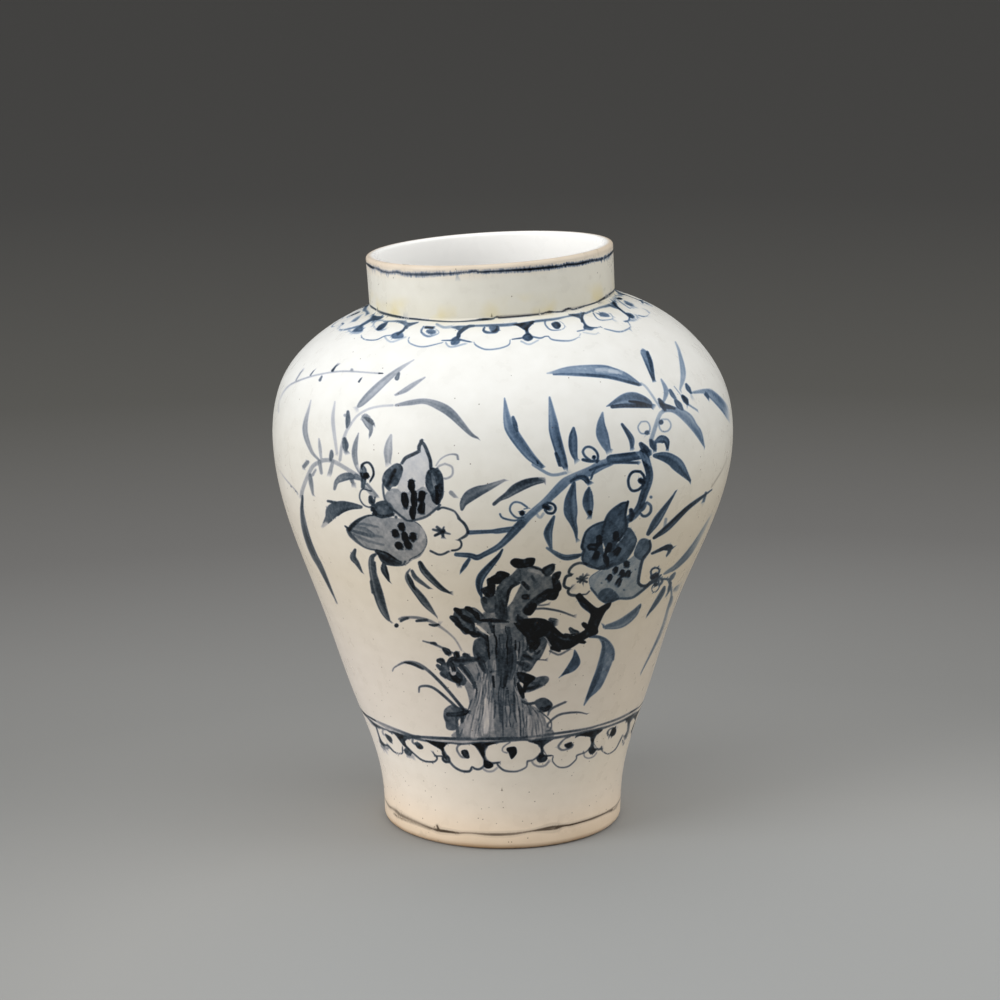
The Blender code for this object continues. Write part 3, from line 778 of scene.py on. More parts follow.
# %% Left flower
LEFT_FLOWER = [
    stroke(0.69, (438, 509.5, 2.1), (443, 507.5), (453, 510.5), (457, 514.5), (459, 518.5, 3.3)),
    stroke(0.74, (460.5, 520, 2.5), (464.5, 524, 2.8), (467.5, 530, 3), (466.5, 535), (458.5, 540, 2)),
    stroke(0.79, (459.5, 539.5, 2), (461.5, 543.5), (460.5, 547.5), (456.5, 550), (451.5, 550.5, 1.8)),
    stroke(0.69, (430.5, 551, 2.1), (438.5, 554.5), (443.5, 554), (448.5, 551.5)),
    stroke(0.71, (433, 529.5, 2.2), (443, 532, 2.9)),
    stroke(0.8, (435, 535.5, 2.5), (443, 531.5, 3.2)),
    stroke(0.71, (437, 527, 2.8), (442, 532, 3.5), (443, 536.5, 2.9)),
    stroke(0.62, (444, 527, 1.6), (441, 532, 2.3)),
    stroke(0.55, (450, 534, 1.6), (442, 532, 2.7)),
    stroke(0.8, (443.5, 531, 4.3)),
]
print(f"{len(LEFT_FRUIT + LEFT_FLOWER)} strokes in the left fruit and flower")

# %% [markdown]
# ## The painting: the branch and its leaves on the right
#
# A branch grows from the rock to the upper right, turns down again and carries a second pair of
# fruit. It is painted wet, so it is pale in its middle and dark where the brush paused.

# %% Branch
BRANCH = [
    stroke((0.7, 0.58), (456, 554.5, 3.9), (470, 555.5, 4.9), (477, 557.5, 5.4), (484, 554.5, 4.9),
        (500, 545.5, 5.9), (514, 531.5, 7.9), (521, 523.5)),
    stroke((0.5, 0.41), (521, 525, 7.3), (530, 515), (546, 501), (562, 485, 9.3), (570, 479, 8.3), (590, 471, 9.3),
        (600, 465.5), (610, 461.5, 8.3)),
    stroke(0.45, (515, 526.5, 4), (523, 518.5)),
    stroke(0.62, (469, 532.5, 4.2), (490, 531.5, 3.7), (498, 531, 5.2), (512, 529)),
    stroke(0.66, (590, 470, 2.7), (612, 462.9), (637, 462.5)),
    stroke((0.62, 0.66), (610.5, 458.5, 8), (618.5, 458, 9), (643.5, 454.5, 8), (649.5, 452.5, 6)),
    stroke((0.8, 0.58), (643, 452, 7.6), (646, 460, 8), (649.5, 477, 7.2), (643.5, 495, 7.6), (641, 503, 7),
        (638, 510, 7.6), (633, 516), (627, 520.5, 6.6), (625, 525, 3.6)),
    stroke(0.62, (644, 505, 5.6), (642, 508, 6)),
    stroke(0.69, (641, 444, 4.6), (645, 449, 7.6), (648, 452, 5.6)),
    stroke(0.66, (651, 440.5, 4), (653, 444.5, 7), (655, 449.5, 4)),
    stroke(0.26, (651, 440, 4), (659, 416), (663, 411)),
    stroke(0.78, (571, 481, 2.9), (578, 477, 3.5), (585, 478, 5.9), (588, 482, 4.9)),
    stroke(0.7, (591, 479, 1.8), (593, 473, 2.3), (595, 470, 1.3)),
    stroke(0.88, (545, 506, 5.9), (549, 508, 4.9)),
    stroke(0.8, (545, 510, 2.5), (548, 513), (553, 513), (555.5, 509.5), (555, 506, 2.4), (552, 503.5),
        (547.5, 502.8)),
    stroke(0.21, (539, 508.5, 2.7), (536.5, 513), (540, 517.5), (543.5, 513.5)),
    stroke(0.58, (527, 507, 1.9), (521, 503), (515, 502), (511, 505), (510, 510), (513, 515), (518, 518),
        (523, 517)),
    stroke(0.94, (522, 513, 5.7)),
    stroke(0.66, (524, 509, 0.8), (529, 508, 0.6)),
    stroke(0.58, (500, 514, 1.9), (503, 518), (515, 520.5), (521, 518)),
    stroke(0.66, (469, 559.5, 3.3), (465, 565.5, 4.3), (461, 571.5, 2.3)),
    stroke(0.83, (640.5, 471.5, 2.6), (634.5, 471.3), (630.5, 474), (628.3, 480), (629.3, 487), (632.5, 490.6),
        (637.5, 490), (641.5, 487), (644.1, 482), (643.9, 476), (640.5, 471.5)),
    stroke(0.88, (640.5, 480.5, 5.8), (643, 482.5, 5.2)),
    stroke(0.6, (647, 502.5, 2.7), (650.6, 505.5), (650.6, 511.5), (647, 515.5), (643, 516), (640.5, 513.5, 2.6)),
    stroke(0.5, (651, 497, 3.2)),
    stroke(0.33, (641, 421.5, 1.5), (638, 427), (641, 433), (648, 432.5, 1.6), (650, 427, 1.5), (647, 421.5),
        (641, 421.5)),
    stroke(0.58, (647, 432.5, 4.9)),
    stroke(0.27, (662, 419, 1.6), (659, 425), (662, 431), (668, 430.5), (671, 425), (668, 419.5), (662, 419)),
    stroke(0.7, (661, 422, 5)),
    stroke(0.7, (597, 462, 2.3), (598, 456), (596, 451), (591, 447), (586, 447), (583, 451), (585, 456),
        (590, 460)),
    stroke(0.85, (594, 457, 4.1)),
    stroke(0.79, (583, 459.5, 3), (590, 461), (598, 460.5)),
    stroke(0.75, (502.5, 549.5, 1.7), (497.5, 557.5, 4.3), (483.5, 573.5, 7.8), (479.5, 581.5), (479.5, 589.5, 5.3),
        (481.5, 596.5, 2.3)),
    stroke(-0.4, (540, 477, 4), (545, 479, 3)),
]
print(len(BRANCH), "marks")

# %% Right leaves
RIGHT_LEAVES = [
    stroke((0.39, 0.58), (504.5, 398, 1.3), (507.5, 420, 8.3), (512.5, 432, 11.3), (528.5, 454, 9.3),
        (541.5, 466, 4.3)),
    stroke(0.8, (536, 460, 0.6), (538, 463.5, 1.5)),
    stroke(0.33, (533, 464.5, 3), (548, 473.5), (556, 474.7), (566, 472.5)),
    stroke((0.27, 0.48), (547, 373, 1), (570, 370, 8), (600, 370.5, 12), (613, 372.5, 10), (625, 377, 9),
        (640, 384.5, 3)),
    stroke((0.51, 0.69), (553.5, 374, 1.7), (570.5, 374, 2.9), (606.5, 376.5, 3.3), (638.5, 384.4, 2.7)),
    stroke(0.22, (641, 383, 2.1), (647, 388), (660, 407)),
    stroke(0.53, (606.5, 406, 0.6), (622.5, 399.5, 10.4), (632.5, 398, 12.4), (641.5, 400, 10.4),
        (648.5, 402.6, 6.4), (651.5, 404.6, 3)),
    stroke(0.79, (612, 406.4, 3.5), (625, 405.4, 4.1), (651, 406, 3.5)),
    stroke((0.4, 0.66), (549.5, 397, 1.9), (553, 421, 8.9), (555, 434, 10.4), (562, 458, 8.9), (565.5, 467, 5.4)),
    stroke((0.68, 0.48), (573.5, 428, 2.9), (573, 436, 7.9), (573, 445, 8.9), (574, 453, 6.9), (576, 459, 3.9)),
    stroke((0.41, 0.51), (602.5, 412.5, 1.9), (601, 423.5, 7.9), (602, 433.5, 11.9), (605, 442.5, 9.9),
        (608, 449.5, 5.9)),
    stroke(0.66, (622, 424, 2.6), (631, 438, 5.6), (632, 447, 3.6)),
    stroke((0.39, 0.7), (643, 351.5, 6), (648, 360.5, 8), (653.5, 379.5, 3)),
    stroke(0.66, (647, 352, 3), (650, 361, 4), (652.5, 371, 3)),
    stroke(0.33, (661, 379, 1.6), (665, 387, 4.1), (666, 393, 4.6), (664, 400, 2.6)),
    stroke(0.74, (659, 399, 2.7), (662, 404, 5.7), (665, 410, 2.7)),
    stroke(0.58, (670, 390, 3), (672, 394, 4), (675, 398, 3)),
    stroke(0.62, (676, 401, 4), (679, 405, 6), (682, 409, 3)),
    stroke(0.66, (686, 384, 2.4), (688, 388, 4.4), (691, 393, 1.9)),
    stroke(0.77, (682.5, 396, 3.4), (685.5, 400, 5.4), (687.5, 404, 2.4)),
    stroke(0.33, (674, 386, 0.6), (681, 395)),
    stroke(0.34, (688, 404, 1.8), (697, 410)),
    stroke((0.58, 0.78), (656.5, 441, 4), (661.5, 439, 8), (666.5, 441, 6), (667.5, 448, 2.5)),
    stroke((0.58, 0.66), (655, 455.5, 4.6), (664, 456.5, 9.6), (672, 460, 11.6), (679, 466.5, 12.1),
        (690, 480.5, 2.6)),
    stroke((0.34, 0.44), (663.5, 410, 4), (671.5, 409.5, 5), (679.5, 412, 8), (687.5, 418, 10), (693.5, 426, 8),
        (698.5, 433, 7), (704.5, 447, 1)),
    stroke(0.29, (675, 341.5, 1.3), (679, 351.5, 2.8), (683, 373.5, 5.3), (680, 389.5, 1.8)),
    stroke((0.34, 0.47), (690.5, 392.5, 2), (704.5, 391, 5), (711.5, 394, 8), (724.5, 408), (731.5, 424, 2)),
    stroke(0.58, (706, 394, 3.9), (708, 397, 2.9)),
    stroke(0.62, (554, 516.5, 2.6), (548.5, 530.5, 8.2), (548.5, 537.5, 7.6), (551.5, 549.5, 2.1)),
    stroke(0.62, (574, 483, 3.6), (571, 498, 11.1), (570.5, 507, 13.6), (571, 514, 13.1), (573, 522, 7.6),
        (575.5, 530, 4.6), (576.5, 538, 2.1)),
    stroke(0.62, (589, 488, 2.9), (588.5, 493, 7.9), (588, 501, 10.9), (588.5, 507, 9.9), (590, 516, 3.9)),
    stroke(1, (588.6, 512, 2.9), (590, 512.5, 4.9)),
    stroke((0.42, 0.8), (547, 548, 2.5), (563, 557, 5.5), (575, 556.5, 5), (580, 555, 3)),
    stroke(0.68, (648, 534, 3.7), (657, 520, 7.7), (671, 499, 2.7), (676, 491, 1.2)),
    stroke(0.84, (654, 538, 2.8), (667, 528, 5.8), (686, 509.5, 4.3), (698, 500, 3.3), (712, 489.5, 0.6)),
    stroke(0.56, (706, 492.5, 2.1), (703.5, 501.5, 2.4)),
    stroke(0.25, (666, 519, 2.7), (664.5, 527)),
    stroke(0.8, (652, 553.5, 2.3), (668, 546.5, 4.3), (671, 547.5)),
    stroke(0.66, (671, 546, 3), (669.5, 551), (666.5, 556, 1.5)),
    stroke((0.41, 0.53), (664, 574, 1.7), (669, 571, 3.7), (676, 566.5, 4.7), (688, 554, 5.7), (698, 539, 4.2),
        (712, 514, 1.2)),
    stroke(0.58, (689.5, 568, 0.9), (686.5, 572, 1.1)),
    stroke(0.51, (684.5, 579, 1.2), (681.5, 584, 2.5), (677.5, 588, 4.5), (675.5, 590, 4)),
    stroke(0.74, (656, 578.5, 1.8), (652, 576.5), (651, 571.5), (653, 568.5), (657, 568), (659.5, 570.5),
        (656, 578.5)),
    stroke(0.83, (652, 577.5, 4.3), (656.5, 575, 5.3)),
    stroke(0.75, (655, 581, 1.4), (661, 575)),
    stroke(0.68, (650, 583, 3.3), (656, 580, 4.3)),
    stroke(0.84, (655, 583.5, 0.8), (652, 587.5, 0.6), (652.5, 591.5), (656, 591.5), (659, 587.5), (658, 584)),
    stroke(0.83, (655.5, 584.5, 4.3)),
    stroke(0.66, (658.5, 583, 2.1), (659, 579), (662, 578.5), (662, 582), (659.5, 585)),
    stroke((0.62, 0.5), (661, 580, 1.5), (665, 579, 2), (669, 581, 2.5), (671.5, 593, 1.8), (670.5, 599, 1.5),
        (670.5, 604, 3), (669, 607, 1.5)),
    stroke(0.58, (675, 573, 2), (672, 577, 4), (670, 580, 3)),
    stroke(0.58, (671, 582.5, 2), (669.5, 587.5, 3), (668, 592.5, 1.5)),
    stroke((0.58, 0.74), (664.5, 587, 2.4), (662.5, 592, 4.4), (656.5, 602), (647.5, 615, 1.4)),
    stroke((0.64, 0.44), (672, 597, 2.4), (671, 601, 3.4), (668, 609, 2.4), (661, 632, 2.9), (641, 673, 0.6)),
    stroke(0.25, (668, 628, 4.5)),
    stroke(0.47, (640.5, 604.5, 1.8), (633.5, 614, 7.3), (620.5, 623.5, 8.8), (605.5, 627, 4.3),
        (603.5, 625.5, 1.8)),
    stroke(0.83, (641, 605, 0.9), (639.8, 608, 1.4)),
    wash(0.43, (598, 636.7), (606.1, 640.2), (611.1, 646.2), (613.7, 653.3), (612.2, 662.3), (603.1, 683.8),
        (597, 691.8), (589.9, 697.8), (583.9, 705.8), (585.9, 697.8), (596.7, 671.6), (601, 657.2), (602, 645.2)),
    stroke((0.54, 0.66), (603, 642, 3), (603.4, 650, 4), (599, 670, 6), (591, 690, 4.6), (587, 698, 2.6)),
    stroke(0.56, (590, 636.5, 2.6), (598, 636.9, 3), (606, 639.9, 2.8), (611, 645.1, 2.6), (613.6, 651.5, 2.4),
        (613, 659.5, 2.1)),
    wash(0.62, (574.7, 649.6), (580.3, 660.6), (577.9, 667.2), (572.3, 671.9), (564.5, 674.8), (558.4, 678.1),
        (562.4, 673.6), (572.2, 658.1)),
    stroke(0.85, (629, 401, 2), (638, 402.5, 3.5), (648, 404.5, 2.5)),
    stroke(0.8, (661, 404, 3), (668, 406.5, 4.5), (675, 408, 2.5)),
    stroke(0.85, (662, 549, 2.5), (668, 549.5, 2)),
    stroke(-0.4, (597, 370, 4), (606, 370, 6), (617, 372, 4)),
    stroke(-0.35, (637, 451, 4), (645, 458, 6), (652, 465, 4)),
    stroke(-0.35, (610, 370.5, 4), (621, 372)),
    stroke(0.6, (513, 417, 3), (515, 424, 4.5), (517, 431, 3)),
    stroke(0.74, (556, 453, 3), (558.5, 460, 4), (560, 466, 3)),
]
CRACKS = [
    stroke((0.4, 0.6), (711.5, 487, 1.2), (721.5, 471), (727.5, 458), (730.5, 455), ink="iron"),
    stroke(0.4, (727, 459, 1), (723, 484, 0.9), ink="iron"),
]
print(f"{len(BRANCH + RIGHT_LEAVES)} strokes in the branch and the right leaves")

# %% [markdown]
# ## The painting: fruit and flower on the right
#
# The second pair of fruit hangs under the branch. The upper one is three lobes wide, nearly all in a
# middle wash, and the lower one is paler with a dark cup, so the seeds stand out in it.

# %% Right fruit
RIGHT_FRUIT = [
    wash(0.56, (603.2, 522.9), (595, 524.9), (587.8, 529.9), (582.5, 538.1), (581.4, 546.5), (583.4, 551.7),
        (581.6, 558.9), (584.7, 565), (593, 568.6), (603.2, 569.6), (605.3, 563), (601.3, 535)),
    wash(0.65, (608, 515.5), (620, 504.5), (628, 502.5), (626, 510.5), (626, 527.5), (617, 543.5), (611, 549.5),
        (605, 547.5), (602, 532.5)),
    wash(0.6, (622.1, 538.8), (627.3, 528.8), (632.6, 531), (636.1, 543.6), (627.6, 559), (619.9, 564.2),
        (611.4, 567), (605.1, 562.8), (608.8, 552.3)),
    stroke(0.77, (604, 522, 2.5), (597, 524, 2), (590, 528), (585, 534), (582, 547, 3), (584, 550),
        (582.5, 556, 2.5), (584, 562, 2), (597, 568.5), (604, 569, 1.5)),
    stroke(0.77, (602, 541, 2), (602, 533, 2.5), (608, 515), (620, 504.5), (628, 502, 2)),
    stroke(0.83, (628, 501.5, 2.3), (625.5, 514.5), (626.5, 527.5, 2.8), (619, 540.5, 1.8)),
    stroke(0.8, (627, 528, 1.1), (631, 529, 0.7), (636, 538, 0.9), (635.5, 544, 0.7), (629, 556, 0.6)),
    stroke(1.05, (599.5, 537.5, 6), (599.5, 542.5, 6.6)),
    stroke(1, (590.5, 547, 6.9), (595, 547, 7.5)),
    stroke(1.05, (616, 534, 5.7), (616, 538.5, 6.7)),
    stroke(1.05, (610, 545, 5.5), (608.4, 549.5, 6.8)),
    stroke(1.05, (597, 553.5, 6), (595.6, 557.5, 6.8)),
    stroke(1.05, (604.8, 556, 4), (606.2, 559.5, 6.2), (607.5, 565, 4)),
    stroke(1.05, (618.6, 549.6, 5.6), (615.4, 553.4, 6.6)),
    stroke(0.7, (600, 568, 4), (607, 566.5, 6), (613, 563)),
    wash(0.26, (604, 569.5), (592, 576.5), (590, 582.5), (592, 589.5), (600, 597.5), (607, 601.5), (613, 600.5),
        (618, 598), (636, 595.5), (648, 585.5), (641, 585.5), (638, 580.5), (641, 562.5), (643, 558.5),
        (636, 554.5), (630, 558.5), (622, 563.5), (612, 567.5)),
    wash(0.54, (639.3, 540.4), (645.7, 538.4), (649.9, 541.6), (650.1, 549), (646.8, 556.5), (642.5, 560.6),
        (637.2, 558.5), (633.9, 553.2)),
    wash(0.62, (598.1, 596), (601.3, 590.5), (606.8, 588.1), (612.5, 589.3), (618.9, 598.2), (604.6, 602.8)),
    stroke(0.5, (603, 568.5, 0.7), (591, 576.5), (589.5, 582.5), (591.5, 588.5), (596, 592.5)),
    stroke(0.58, (591, 588, 2.1), (600, 599, 2.4), (606, 602.5, 2.6)),
    stroke(0.66, (612, 601, 2.6), (619, 598.5, 2.4), (628, 598.5), (636, 595.5), (651, 583, 2.6)),
    stroke(0.79, (649.5, 541, 2.4), (650.5, 546), (648.5, 552), (642.5, 560, 2.9), (638.5, 580), (640.5, 585),
        (645.5, 586), (650.5, 583, 2.4)),
    stroke(1, (626.5, 563.5, 5.9), (626.5, 565.5)),
    stroke(1.05, (616, 569, 5), (614.8, 571.2, 5.6)),
    stroke(1, (610.2, 576.2, 5), (609.2, 578.6, 5.4)),
    stroke(1.05, (622.4, 571.8, 5.2), (621.6, 574.8, 5.8)),
    stroke(1.05, (628.4, 572.6, 5.2), (627.2, 575.6, 5.8)),
    stroke(1.05, (619.6, 580, 4.8), (618.2, 583.4, 5.6)),
    stroke(0.64, (624, 590, 1.7)),
    stroke(0.5, (635.5, 569.5, 1.7)),
    stroke(0.45, (601.5, 583, 1.8)),
    stroke(0.85, (631, 510, 4), (632, 515, 5.5), (630.5, 520, 4)),
    stroke(0.8, (579, 600, 3), (584, 605, 6), (591, 611, 5)),
    stroke(1, (606.2, 549, 3), (605.4, 556)),
]
print(len(RIGHT_FRUIT), "marks")

# %% Right flower
RIGHT_FLOWER = [
    stroke(0.69, (586, 564, 2.6), (580, 563), (574, 565), (570, 569), (569, 573), (572, 574.5, 2.2)),
    stroke(0.74, (571, 575, 2.7), (566, 577, 2.9), (564, 585), (567, 588), (570, 588.5, 2.5)),
    stroke(0.74, (569, 589, 2.7), (568, 592, 2.9), (571, 595), (581, 595.5, 2.7)),
    stroke(0.79, (582.5, 594.5, 1.4), (586.5, 594), (589.5, 591, 1.2)),
    stroke(0.66, (577, 578.5, 2.3), (587, 582)),
    stroke(0.75, (580, 582.5, 2), (586, 575.5)),
    stroke(0.55, (583, 574, 1.4), (583, 584)),
    stroke(0.62, (577.5, 582, 1.7), (587.5, 578)),
    stroke(0.66, (581, 577.5, 4)),
]
print(f"{len(RIGHT_FRUIT + RIGHT_FLOWER)} marks in the right fruit and flower")

# %% [markdown]
# ## The painting: rock, gnarled branch and grasses
#
# The rock is a pierced scholar's rock: a dark top and arm round a hole, curled lobes to its left, and a
# hollow trunk whose middle is left pale. Holes and pale seams are marks with a negative tone, which
# take colour away, as a dry brush or a wiped finger would.

# %% Rock
RAIL_POINTS = 9


def streaks(tone, left, right, count):
    """Dry lines of a split brush, running between two rails."""
    rails = [through(rail, False) for rail in (left, right)]
    left, right = (rail[np.linspace(0, len(rail) - 1, RAIL_POINTS).round().astype(int)] for rail in rails)
    lines = []
    for share in np.linspace(0, 1, count):
        line = left + (right - left) * share + noise_of.normal(0, 0.5, (RAIL_POINTS, 2))
        first, last = sorted(noise_of.integers(0, RAIL_POINTS, 2))
        if last - first < 2:
            first, last = 0, RAIL_POINTS - 1
        widths = noise_of.uniform(0.8, 2.2, last + 1 - first)
        lines.append(stroke(tone * noise_of.uniform(0.7, 1.2), *np.column_stack((line[first : last + 1], widths))))
    return lines


ROCK = [
    wash(0.53, (519.6, 566.4), (533.3, 565.8), (541.6, 568.5), (546.9, 574.7), (552, 576.9), (554.1, 583.1),
        (552.2, 589.4), (545.2, 590.4), (539.1, 594.9), (524.8, 606.7), (520.6, 612.6), (519.7, 618.7),
        (509.4, 620.5), (507.1, 608.3), (513, 600.1), (520.3, 581.5)),
    wash(0.65, (519, 568), (511, 575), (503, 580), (496, 590), (495, 598), (495, 614), (499, 620), (507, 620),
        (508, 612), (506, 604), (510, 589), (521, 580)),
    wash(0.61, (481.3, 597.5), (494.5, 595.2), (496.9, 601.8), (495.6, 610.7), (491.2, 612.9), (485.6, 611.8),
        (482.2, 606.3)),
    wash(1.05, (510.2, 563), (514.2, 558.4), (523.5, 559.2), (527.7, 557.8), (533.8, 557.9), (535.3, 559.9),
        (531.8, 566.1), (517.3, 568.2)),
    stroke(0.83, (531, 566, 2.4), (544, 571, 2.2)),
    wash(0.83, (541.9, 572.2), (542.9, 567.8), (552.8, 563.5), (555, 565.7), (554.1, 571.2), (550.7, 575.1),
        (546.3, 576.6)),
    wash(0.84, (551.7, 576), (554.8, 572.7), (559.1, 571.2), (561.3, 572.8), (558.1, 580.3), (553.8, 580.3)),
    wash(1, (551.9, 577.2), (556.1, 581.2), (559.1, 580.2), (561.3, 585.4), (561.3, 589.5), (559.3, 591.6),
        (558.1, 595.8), (555, 599.8), (548.9, 599.8), (545.8, 596.7), (547.8, 593.7), (552.7, 589.6)),
    stroke((1, 0.9), (551.5, 591, 5.2), (546.5, 592), (536.5, 598.5, 4.2), (527.5, 606), (523.5, 611, 3.2)),
    stroke(0.9, (551, 592, 3.9), (547, 597, 4.9), (537, 603, 3.9)),
    wash(1, (523.4, 610.6), (531.1, 603.9), (535.4, 603), (537.1, 606.3), (532.2, 614.1), (528.9, 615.6),
        (524.5, 613.9)),
    wash(1.05, (495.3, 574.3), (497.4, 571.7), (502.7, 571.2), (509.8, 574.4), (503.8, 579.6), (499.5, 583.8),
        (495.3, 583.8), (491.2, 580.6), (488.2, 581.6), (490.2, 577.5)),
    wash(0.94, (486.7, 579.8), (490.1, 577.8), (494.7, 581.1), (495, 592.7), (492.5, 596.6), (486.7, 597.2),
        (480.8, 590.3), (483.8, 587.3), (487.2, 586.1)),
    wash(0.79, (481.5, 598), (485, 597), (487, 600), (487, 604), (482, 601)),
    stroke(0.7, (498, 587.5, 3), (502, 611.5, 5)),
    wash(0.46, (480.5, 617), (494.5, 606), (506.5, 606), (514.5, 610), (524.5, 612), (528.5, 620), (528.5, 632),
        (518.5, 642), (498.5, 644), (484.5, 640), (476.5, 634), (476.5, 624)),
    wash(-1, (519.3, 583.3), (520.3, 585.7), (518.3, 589.7), (515.3, 595.3), (508.6, 605.2), (507.7, 597.3),
        (511.6, 587.8)),
    stroke(0.88, (519, 583, 2.4), (510, 589, 3.4), (506, 606, 2.4)),
    stroke(1, (524, 597, 5.2), (526.5, 597, 5.7)),
    stroke(0.75, (532, 576.5, 3), (535, 581.5)),
    stroke(-0.32, (529, 570.5, 3.4), (537, 571.5, 3.9), (543, 575.5, 2.9)),
    stroke(-0.25, (513, 606, 4.5), (511, 614), (511, 622, 3.5)),
    stroke(0.74, (502.5, 603, 6), (503.5, 611, 8), (502.5, 619, 6)),
    stroke(0.95, (480, 620.5, 2.4), (494, 620.5, 4.4), (509, 622, 1.4)),
    stroke(0.95, (514.5, 623.5, 1.7), (524.5, 633.5, 3.7), (531.5, 638.5, 4.7)),
    stroke(0.79, (518.5, 619, 7.2), (524.5, 624, 9.2), (529.5, 631)),
    *streaks(0.95, [(486, 624), (488, 640), (490, 664)], [(526, 630), (527, 646), (524, 664)], 11),
    *streaks(-0.3, [(490, 622), (493, 642), (494, 664)], [(518, 632), (521, 650), (518, 668)], 6),
    stroke(0.66, (508, 628, 3), (509, 642, 3.5), (508, 656, 3)),
    stroke(0.79, (486, 634, 4), (489, 656, 3)),
    wash(0.33, (480.3, 617.4), (484.2, 611.8), (489.8, 609.7), (489.7, 616.4)),
    stroke(1.01, (518, 615, 1.7), (518, 620, 2.7), (522, 622), (525, 621, 1.7)),
    wash(0.67, (456, 609.5), (466, 608.5), (474, 607.5), (481, 612.5), (485, 618.5), (480, 623.5), (472, 622.5),
        (474, 629.5), (481, 632.5), (487, 637.5), (480, 637.5), (472, 633.5), (465, 634.5), (460, 629.5),
        (454, 621.5), (453, 616.5)),
    stroke(1.05, (455.5, 609.5, 4.3), (458.5, 611.5, 5.8), (460.5, 614.5, 4.3)),
    stroke(1.05, (466.5, 608, 3.7), (470, 609.5, 5.2), (473, 612.5, 3.7)),
    stroke(1, (473.5, 612, 3.8), (476.5, 615, 5.3), (478, 618.5, 3.8)),
    stroke(0.88, (451.5, 617.5, 4.4), (455, 619.5, 6.4), (458.5, 623, 4.9)),
    stroke(0.95, (463, 617, 4.7), (467, 619.5, 6.2), (471.5, 621.5, 4.7)),
    stroke(0.94, (456.5, 624, 3.5), (460, 626, 5), (462.5, 628, 3.5)),
    stroke(1, (464.5, 629, 3.4), (467, 631, 4.9), (469, 632.5, 3.4)),
    stroke(1, (470.5, 632.5, 3.7), (474, 634.5, 5.7), (478, 635.5, 4.2)),
    stroke(0.84, (478, 632.5, 3), (488, 640.5)),
    wash(-0.88, (475.2, 624.7), (480.6, 626.8), (489.8, 635.8), (480.8, 630.9)),
]
print(f"{len(ROCK)} marks so far")

# %% [markdown]
# The trunk is one pale wash from the arm down to the band's line. Dry lines run down it, some that
# lay on colour and some that wipe it off, so it looks hollow and worn by water.

